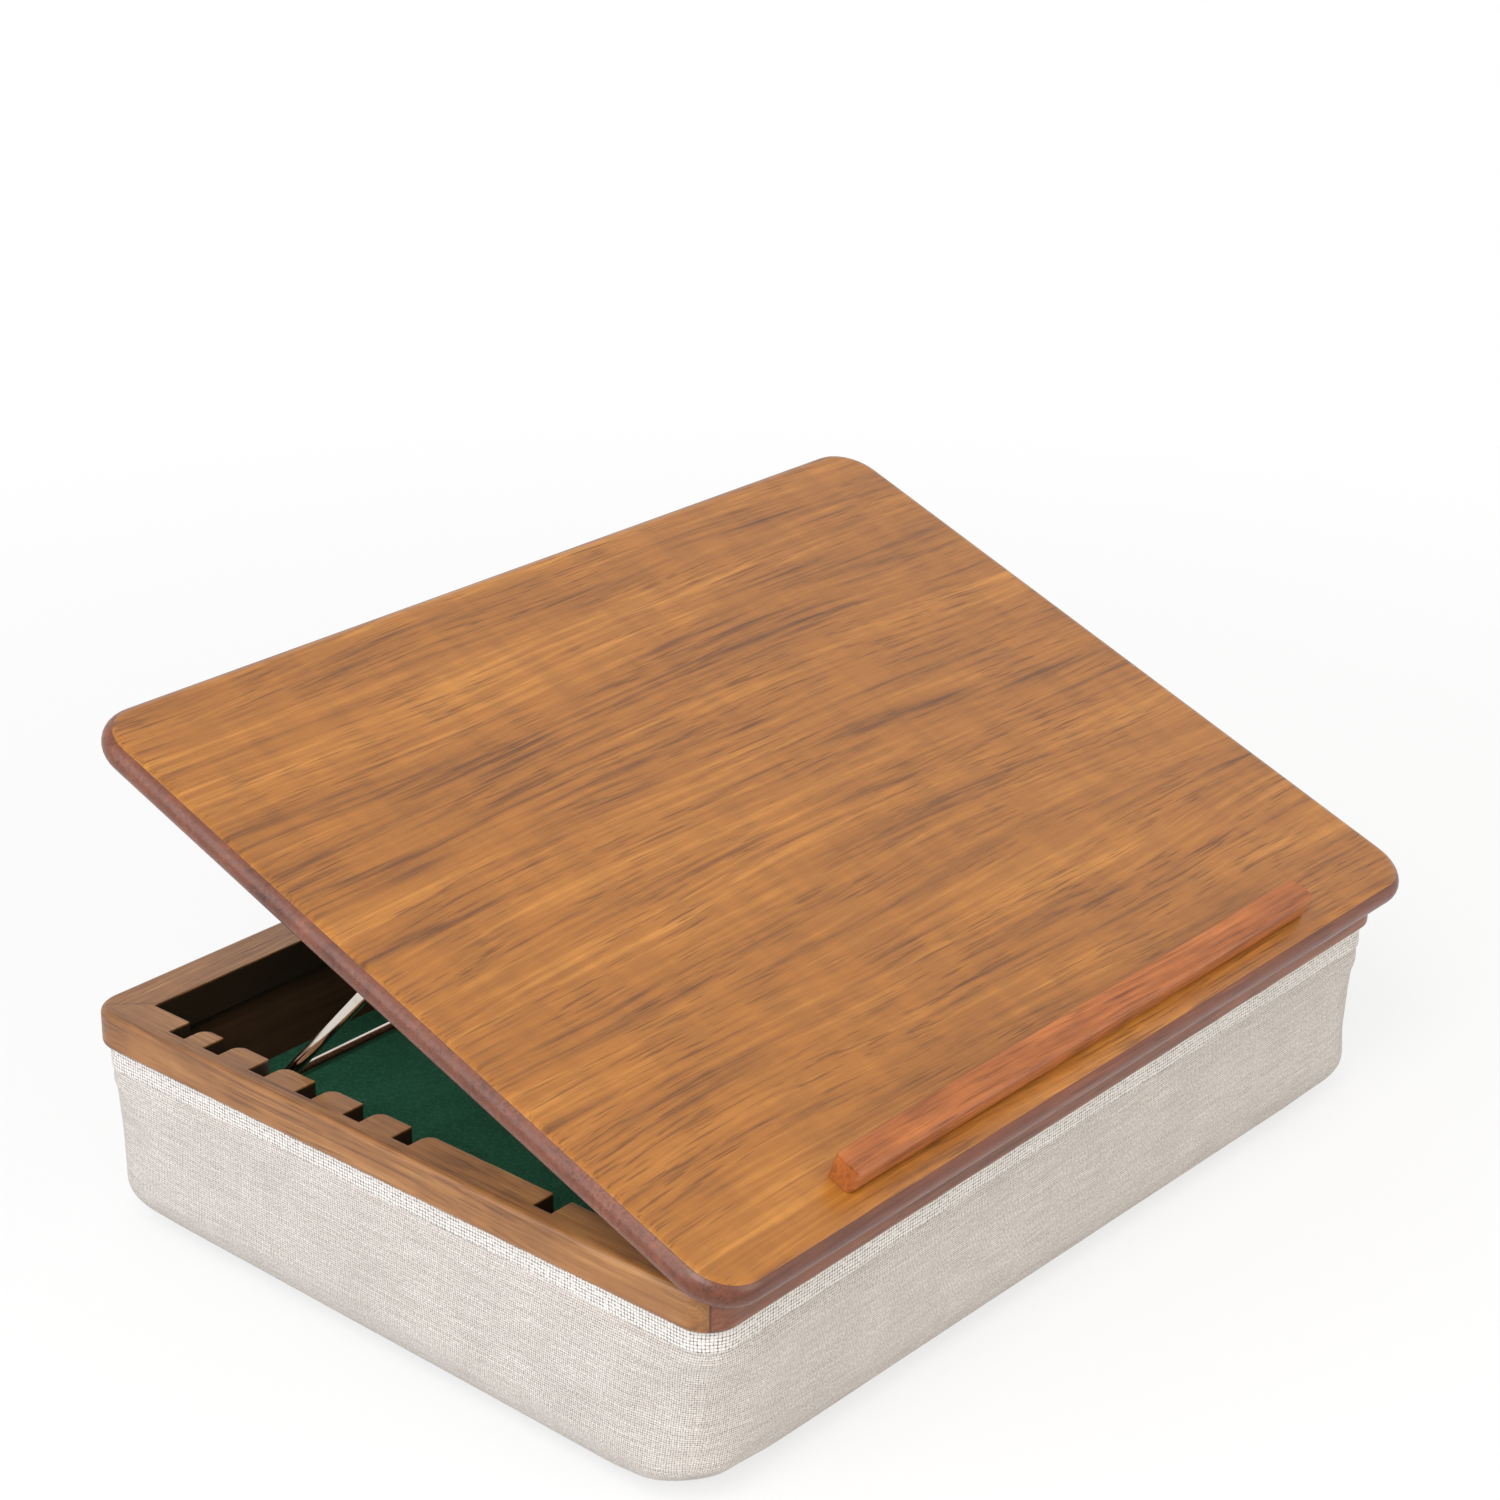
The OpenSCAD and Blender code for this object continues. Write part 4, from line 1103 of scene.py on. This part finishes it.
    def side_rings(self) -> list[np.ndarray]:
        """Sections from the hem's inner edge over the top, down the side and in to the seam."""
        edge_x, edge_y = self.half_x - self.hem, self.half_y - self.hem
        rings = []
        for inner in (0.0, self.hem_fold):
            rings.append(self.ring(edge_x + inner, edge_y + inner, self.hem_radius, self.top, 0.0))
        for inset, drop in ((1.4 * MM, 0.0), (0.4 * MM, 0.4 * MM)):
            half_x, half_y = self.half_x - inset, self.half_y - inset
            rings.append(self.ring(half_x, half_y, self.top_radius - inset, self.top - drop, 0.0))
        rings += [self.side_ring(float(z)) for z in np.linspace(self.top - 1.6 * MM, self.turn_at, 22)]
        rings += [self.turned_ring(float(d)) for d in np.linspace(10.0, 90.0, 9)]
        rings += [self.under_ring(float(k)) for k in np.linspace(1.0, self.seam_share, 7)[1:]]
        return rings

    def under_ring(self, share: float) -> np.ndarray:
        """One section of the crowned underside.

        Args:
            share: How far out it runs, from 0 in the middle to 1 at the edge.

        Returns:
            The section's points.
        """
        z = max(0.0, (-0.5 + 3.0 * share**4)) * MM
        base_x = self.half_x + self.swell - self.turn_radius
        base_y = self.half_y - self.draw_in - self.turn_radius
        return self.ring(base_x * share, base_y * share, max(self.bottom_radius * share, 4 * MM), z, 0.0)

    def under_rings(self) -> list[np.ndarray]:
        """Sections of the bottom panel, from the seam to near the middle."""
        shares = np.linspace(self.seam_share - self.seam_gap, self.panel_share, self.panel_rings)
        return [self.under_ring(float(k)) for k in shares]

    def relax(self, points: np.ndarray) -> np.ndarray:
        """Turn, lift and crease the plain form into a cushion that has been carried about.

        Args:
            points: Points of the plain form.

        Returns:
            The moved points.
        """
        moved = points.copy()
        x, y, z = points[:, 0], points[:, 1], points[:, 2]
        fall = np.clip((self.flush_at - z) / self.flush_at, 0.0, 1.0)
        angle = math.radians(self.twist) * fall
        moved[:, 0] = x * np.cos(angle) - y * np.sin(angle)
        moved[:, 1] = x * np.sin(angle) + y * np.cos(angle)
        corner = 1.0
        for value, start, over in zip((x, y), self.corner_from, self.corner_over):
            corner = corner * np.clip((np.abs(value) - start) / over, 0.0, 1.0)
        near = np.where((x < 0) & (y < 0), 1.0, self.far_lift)
        low = np.clip((self.lift_below - z) / self.lift_over, 0.0, 1.0)
        moved[:, 2] += self.corner_lift * corner * near * low
        return moved

    def wrinkle(self, points: np.ndarray, normals: np.ndarray) -> np.ndarray:
        """Soft unevenness of stretched cloth: slow waves, drag lines at the corners and a crease on the front.

        Args:
            points: Points of the form.
            normals: Their outward normals.

        Returns:
            The moved points.
        """
        x, y, z = points[:, 0], points[:, 1], points[:, 2]
        side = np.clip((z - 6 * MM) / (14 * MM), 0.0, 1.0) * np.clip((self.top - 5 * MM - z) / (12 * MM), 0.0, 1.0)
        slow = 0.35 * np.sin(31 * x + 17 * y + 0.6) * np.sin(75 * z + 9 * y)
        quick = 0.22 * np.sin(83 * x - 41 * y + 1.9) * np.cos(60 * z - 12 * x)
        drop = np.exp(-(((z - self.crease_at - 0.0045 * np.sin(24 * x)) / self.crease_wide) ** 2))
        reach = np.clip((x + 0.075) / 0.03, 0.0, 1.0) * np.clip((0.110 - x) / 0.03, 0.0, 1.0)
        crease = -self.crease_deep * drop * reach * (y < -0.1)
        amount = ((slow + quick) * side + crease) * MM
        return points + normals * amount[:, None]


class Cushion(Assembly):
    """Cover, binding and filling of the cushion, all soft pieces."""

    title = "cushion"
    cloth_settings: dict[str, Any] = {
        "vertex_group_mass": "held",
        "quality": 5,
        "mass": 0.3,
        "tension_stiffness": 12.0,
        "compression_stiffness": 12.0,
        "bending_stiffness": 0.4,
        "use_pressure": True,
        "uniform_pressure_force": 4.0,
    }
    plain_row = 6
    cloth_frames = 20
    fill_cap = 1.6 * MM
    held_above = 5
    held_below = 6
    wadding_gap = 2.6 * MM
    wadding_shoulder = 12.0 * MM
    wadding_shares = (0.93, 0.8, 0.6, 0.35)
    band_radius = 12.1 * MM
    band_thickness = 0.9 * MM
    band_steps = (
        (0.95, 0.0),
        (0.25, 0.05),
        (0.0, 0.35),
        (0.0, 2.0),
        (0.0, 4.5),
        (0.0, 7.0),
        (0.05, 8.0),
        (0.25, 8.6),
        (0.8, 8.9),
    )

    def __init__(self, frame: dict[str, Any], kit: ShaderKit) -> None:
        """Keep the frame, the shared groups and the cushion's form."""
        super().__init__(frame, kit)
        self.form = CushionForm()

    def build(self) -> None:
        """Make every soft piece."""
        sides = self._cloth("cushion_cover", self.form.side_rings(), False)
        self._simulate(sides)
        self._shape(sides)
        self._thicken(sides, "cover_sides", "cover_cloth", Palette.cover, 0.8)
        bottom = self._cloth("cushion_bottom", self.form.under_rings(), True)
        self._shape(bottom)
        self._thicken(bottom, "cover_bottom", "bottom_cloth", Palette.bottom, 0.8)
        self._filling()
        self._binding()

    def _cloth(self, name: str, rings: list[np.ndarray], closed: bool) -> bpy.types.Object:
        """Join sections into one skin with a map in metres.

        Args:
            name: The piece's name.
            rings: Its sections, outside first.
            closed: Whether the last section is filled.

        Returns:
            The new object.
        """
        count = len(rings[0])
        points = np.concatenate(rings)
        faces: list[tuple[int, ...]] = []
        for row in range(len(rings) - 1):
            for i in range(count):
                j = (i + 1) % count
                faces.append((row * count + i, (row + 1) * count + i, (row + 1) * count + j, row * count + j))
        if closed:
            points, faces = self._close(points, faces, (len(rings) - 1) * count)
        mesh = bpy.data.meshes.new(name)
        mesh.from_pydata([tuple(p) for p in points], [], faces)
        piece = bpy.data.objects.new(name, mesh)
        bpy.context.scene.collection.objects.link(piece)
        around = self._lengths(rings)
        down = [0.0]
        for first, second in zip(rings, rings[1:]):
            down.append(down[-1] + float(np.linalg.norm(second - first, axis=1).mean()))
        layer = mesh.uv_layers.new(name="cloth")
        for polygon in mesh.polygons:
            if closed:
                for k in polygon.loop_indices:
                    layer.data[k].uv = mesh.vertices[mesh.loops[k].vertex_index].co.xy
                continue
            first = polygon.index % count
            side = self._side_of(first)
            for k in polygon.loop_indices:
                row, i = divmod(mesh.loops[k].vertex_index, count)
                layer.data[k].uv = (around[side][row, i + count * (i < first)], down[row])
        LOG.info("%s: %s laid out with %d faces", self.title, name, len(faces))
        return piece

    def _side_starts(self) -> list[int]:
        """Numbers of the points in the middle of the four corners, and the first again one round later."""
        form = self.form
        starts = [form.arc_steps // 2]
        for steps in (form.long_steps, form.short_steps) * 2:
            starts.append(starts[-1] + form.arc_steps + steps)
        return starts

    def _side_of(self, face: int) -> int:
        """Return the side that a strip of faces belongs to; a side ends in the middle of its corners."""
        starts = self._side_starts()
        return next((s for s in range(4) if starts[s] <= face < starts[s + 1]), 3)

    def _lengths(self, rings: list[np.ndarray]) -> list[np.ndarray]:
        """Measure along every section from the middle of each side, so that the cloth keeps its pitch at corners.

        Args:
            rings: The sections.

        Returns:
            For each side, the distance of every point of two rounds in every section.
        """
        count = len(rings[0])
        starts = self._side_starts()
        rows = []
        for ring in rings:
            steps = np.linalg.norm(np.roll(ring, -1, axis=0) - ring, axis=1)
            rows.append(np.concatenate([[0.0], np.cumsum(np.tile(steps, 2))]))
        run = np.array(rows)
        plain = run[min(self.plain_row, len(rings) - 1)]
        sides = []
        for side in range(4):
            middle = (starts[side] + starts[side + 1]) // 2
            placed = run - run[:, middle : middle + 1] + plain[middle]
            if side == 3:
                first = starts[0] + 1
                placed[:, :first] = placed[:, count : count + first]
            sides.append(placed)
        return sides

    def _close(
        self, points: np.ndarray, faces: list[tuple[int, ...]], start: int
    ) -> tuple[np.ndarray, list[tuple[int, ...]]]:
        """Fill the last section with an even grid, so that no point gathers many edges.

        Args:
            points: The skin's points.
            faces: Its faces.
            start: The number of the last section's first point.

        Returns:
            The points and faces with the grid added.
        """
        form = self.form
        wide, deep = form.long_steps + form.arc_steps, form.short_steps + form.arc_steps
        count = 2 * (wide + deep)
        order = [start + (form.arc_steps // 2 + i) % count for i in range(count)]
        spots = points[order]
        rear, left = spots[: wide + 1], spots[wide : wide + deep + 1]
        front = spots[wide + deep : 2 * wide + deep + 1]
        right = np.concatenate([spots[2 * wide + deep :], spots[:1]])
        number = np.zeros((deep + 1, wide + 1), dtype=int)
        number[0] = order[: wide + 1]
        number[:, wide] = order[wide : wide + deep + 1]
        number[deep] = order[wide + deep : 2 * wide + deep + 1][::-1]
        number[1:deep, 0] = order[2 * wide + deep + 1 :][::-1]
        added = []
        for j in range(1, deep):
            for i in range(1, wide):
                u, v = i / wide, j / deep
                sides = (1 - v) * rear[i] + v * front[wide - i] + (1 - u) * right[deep - j] + u * left[j]
                corners = (1 - u) * (1 - v) * rear[0] + u * (1 - v) * rear[-1]
                corners = corners + (1 - u) * v * front[-1] + u * v * front[0]
                number[j, i] = len(points) + len(added)
                added.append(sides - corners)
        for j in range(deep):
            for i in range(wide):
                faces.append((number[j, i], number[j + 1, i], number[j + 1, i + 1], number[j, i + 1]))
        return np.concatenate([points, np.array(added)]), faces

    def _simulate(self, piece: bpy.types.Object) -> None:
        """Let the cover fill out under a soft pressure, held at its hem and seam.

        Args:
            piece: The cover's skin.
        """
        start = Workshop.points_of(piece)
        count = len(self.form.side_rings()[0])
        rows = len(start) // count
        held = piece.vertex_groups.new(name="held")
        for row in range(rows):
            if row <= self.held_above or row >= rows - self.held_below:
                held.add([row * count + i for i in range(count)], 1.0, "REPLACE")
        Workshop.take(piece)
        cloth = piece.modifiers.new("fill", "CLOTH")
        for name, value in self.cloth_settings.items():
            setattr(cloth.settings, name, value)
        cloth.settings.effector_weights.gravity = 0.0
        cloth.collision_settings.use_collision = False
        cloth.collision_settings.use_self_collision = False
        scene = bpy.context.scene
        cloth.point_cache.frame_start = 1
        cloth.point_cache.frame_end = self.cloth_frames
        for frame in range(1, self.cloth_frames + 1):
            scene.frame_set(frame)
        graph = bpy.context.evaluated_depsgraph_get()
        filled = np.array([v.co for v in piece.evaluated_get(graph).data.vertices])
        piece.modifiers.remove(cloth)
        scene.frame_set(1)
        step = filled - start
        size = np.linalg.norm(step, axis=1, keepdims=True)
        cap = self.fill_cap
        capped = start + step * (cap * np.tanh(size / cap) / np.maximum(size, 1e-9))
        Workshop.move_points(piece, capped)
        LOG.info("%s: cover filled out by up to %.1f mm", self.title, float(size.max() / MM))

    def _shape(self, piece: bpy.types.Object) -> None:
        """Relax and crease a skin.

        Args:
            piece: The skin.
        """
        normals = np.array([v.normal for v in piece.data.vertices])
        points = self.form.wrinkle(Workshop.points_of(piece), normals)
        Workshop.move_points(piece, self.form.relax(points))

    def _hand_over(self, piece: bpy.types.Object, node: str, slot: str, finish: Finish, fill: float) -> None:
        """Args:
            piece: The piece.
            node: The CAD node it stands for.
            slot: The record's material slot; not used.
            finish: Its finish.
            fill: How full the cushion is; not used.
        """
        Workshop.smooth(piece, 60.0)
        Workshop.dress(piece, finish.build(self.kit))
        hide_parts(node)
        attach(piece, "base")
        LOG.info("%s: %s made", self.title, piece.name)

    def _thicken(self, piece: bpy.types.Object, node: str, slot: str, finish: Finish, fill: float) -> None:
        """Give a skin its cloth's thickness and dress it.

        Args:
            piece: The skin.
            node: The CAD node it stands for.
            slot: The record's material slot.
            finish: Its finish.
            fill: How full the cushion is.
        """
        Workshop.finish_modifier(piece, "SUBSURF", levels=1, render_levels=1)
        Workshop.finish_modifier(piece, "SOLIDIFY", thickness=self.form.thickness, offset=-1.0)
        self._hand_over(piece, node, slot, finish, fill)

    def _filling(self) -> None:
        """Pack the wadding under the floor panel."""
        low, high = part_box("cushion_fill")
        form = self.form
        inner = self.wadding_gap
        rings = [form.side_ring(high.z, self.wadding_shoulder), form.side_ring(high.z - 1.2 * MM, inner)]
        rings += [form.side_ring(float(z), inner) for z in np.linspace(high.z - 4 * MM, form.turn_at, 16)]
        rings += [form.turned_ring(float(d), inner) for d in np.linspace(8.0, 90.0, 11)]
        for share in self.wadding_shares:
            ring = form.under_ring(share)
            ring[:, 2] = np.maximum(ring[:, 2] + inner, low.z)
            rings.append(ring)
        piece = self._cloth("cushion_filling", rings, True)
        Workshop.take(piece)
        bpy.ops.object.mode_set(mode="EDIT")
        mesh = bmesh.from_edit_mesh(piece.data)
        bmesh.ops.holes_fill(mesh, edges=[e for e in mesh.edges if e.is_boundary])
        bmesh.update_edit_mesh(piece.data)
        bpy.ops.object.mode_set(mode="OBJECT")
        Workshop.move_points(piece, self.form.relax(Workshop.points_of(piece)))
        self._hand_over(piece, "cushion_fill", "filling", Palette.filling, 0.8)

    def _binding(self) -> None:
        """Wrap the coarse band round the cover's top edge."""
        _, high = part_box("cover_binding")
        rings = []
        for inset, drop in self.band_steps:
            half_x, half_y, radius = (size - inset * MM for size in (high.x, high.y, self.band_radius))
            rings.append(self.form.ring(half_x, half_y, radius, high.z - drop * MM, 0.0))
        piece = self._cloth("cover_band", rings, False)
        points = Workshop.points_of(piece)
        sag = np.clip((high.z - points[:, 2]) / (9 * MM), 0.0, 1.0) ** 2
        points[:, 2] += sag * 0.25 * MM * np.sin(37 * points[:, 0] + 29 * points[:, 1])
        Workshop.move_points(piece, points)
        Workshop.finish_modifier(piece, "SOLIDIFY", thickness=self.band_thickness, offset=-1.0)
        self._hand_over(piece, "cover_binding", "binding_cloth", Palette.binding, 0.2)


def main() -> None:
    """Build the desk's looks in order."""
    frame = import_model()
    kit = ShaderKit()
    Studio().build(kit)
    for part in (RailFrame, Compartment, Cushion, Lid, Hinges, WireStand):
        part(frame, kit).build()
        LOG.info("%s done", part.title)
    scene = bpy.context.scene
    scene.view_settings.view_transform = "Standard"


if __name__ == "__main__":
    logging.basicConfig(level=logging.INFO, format="%(name)s: %(message)s")
    main()
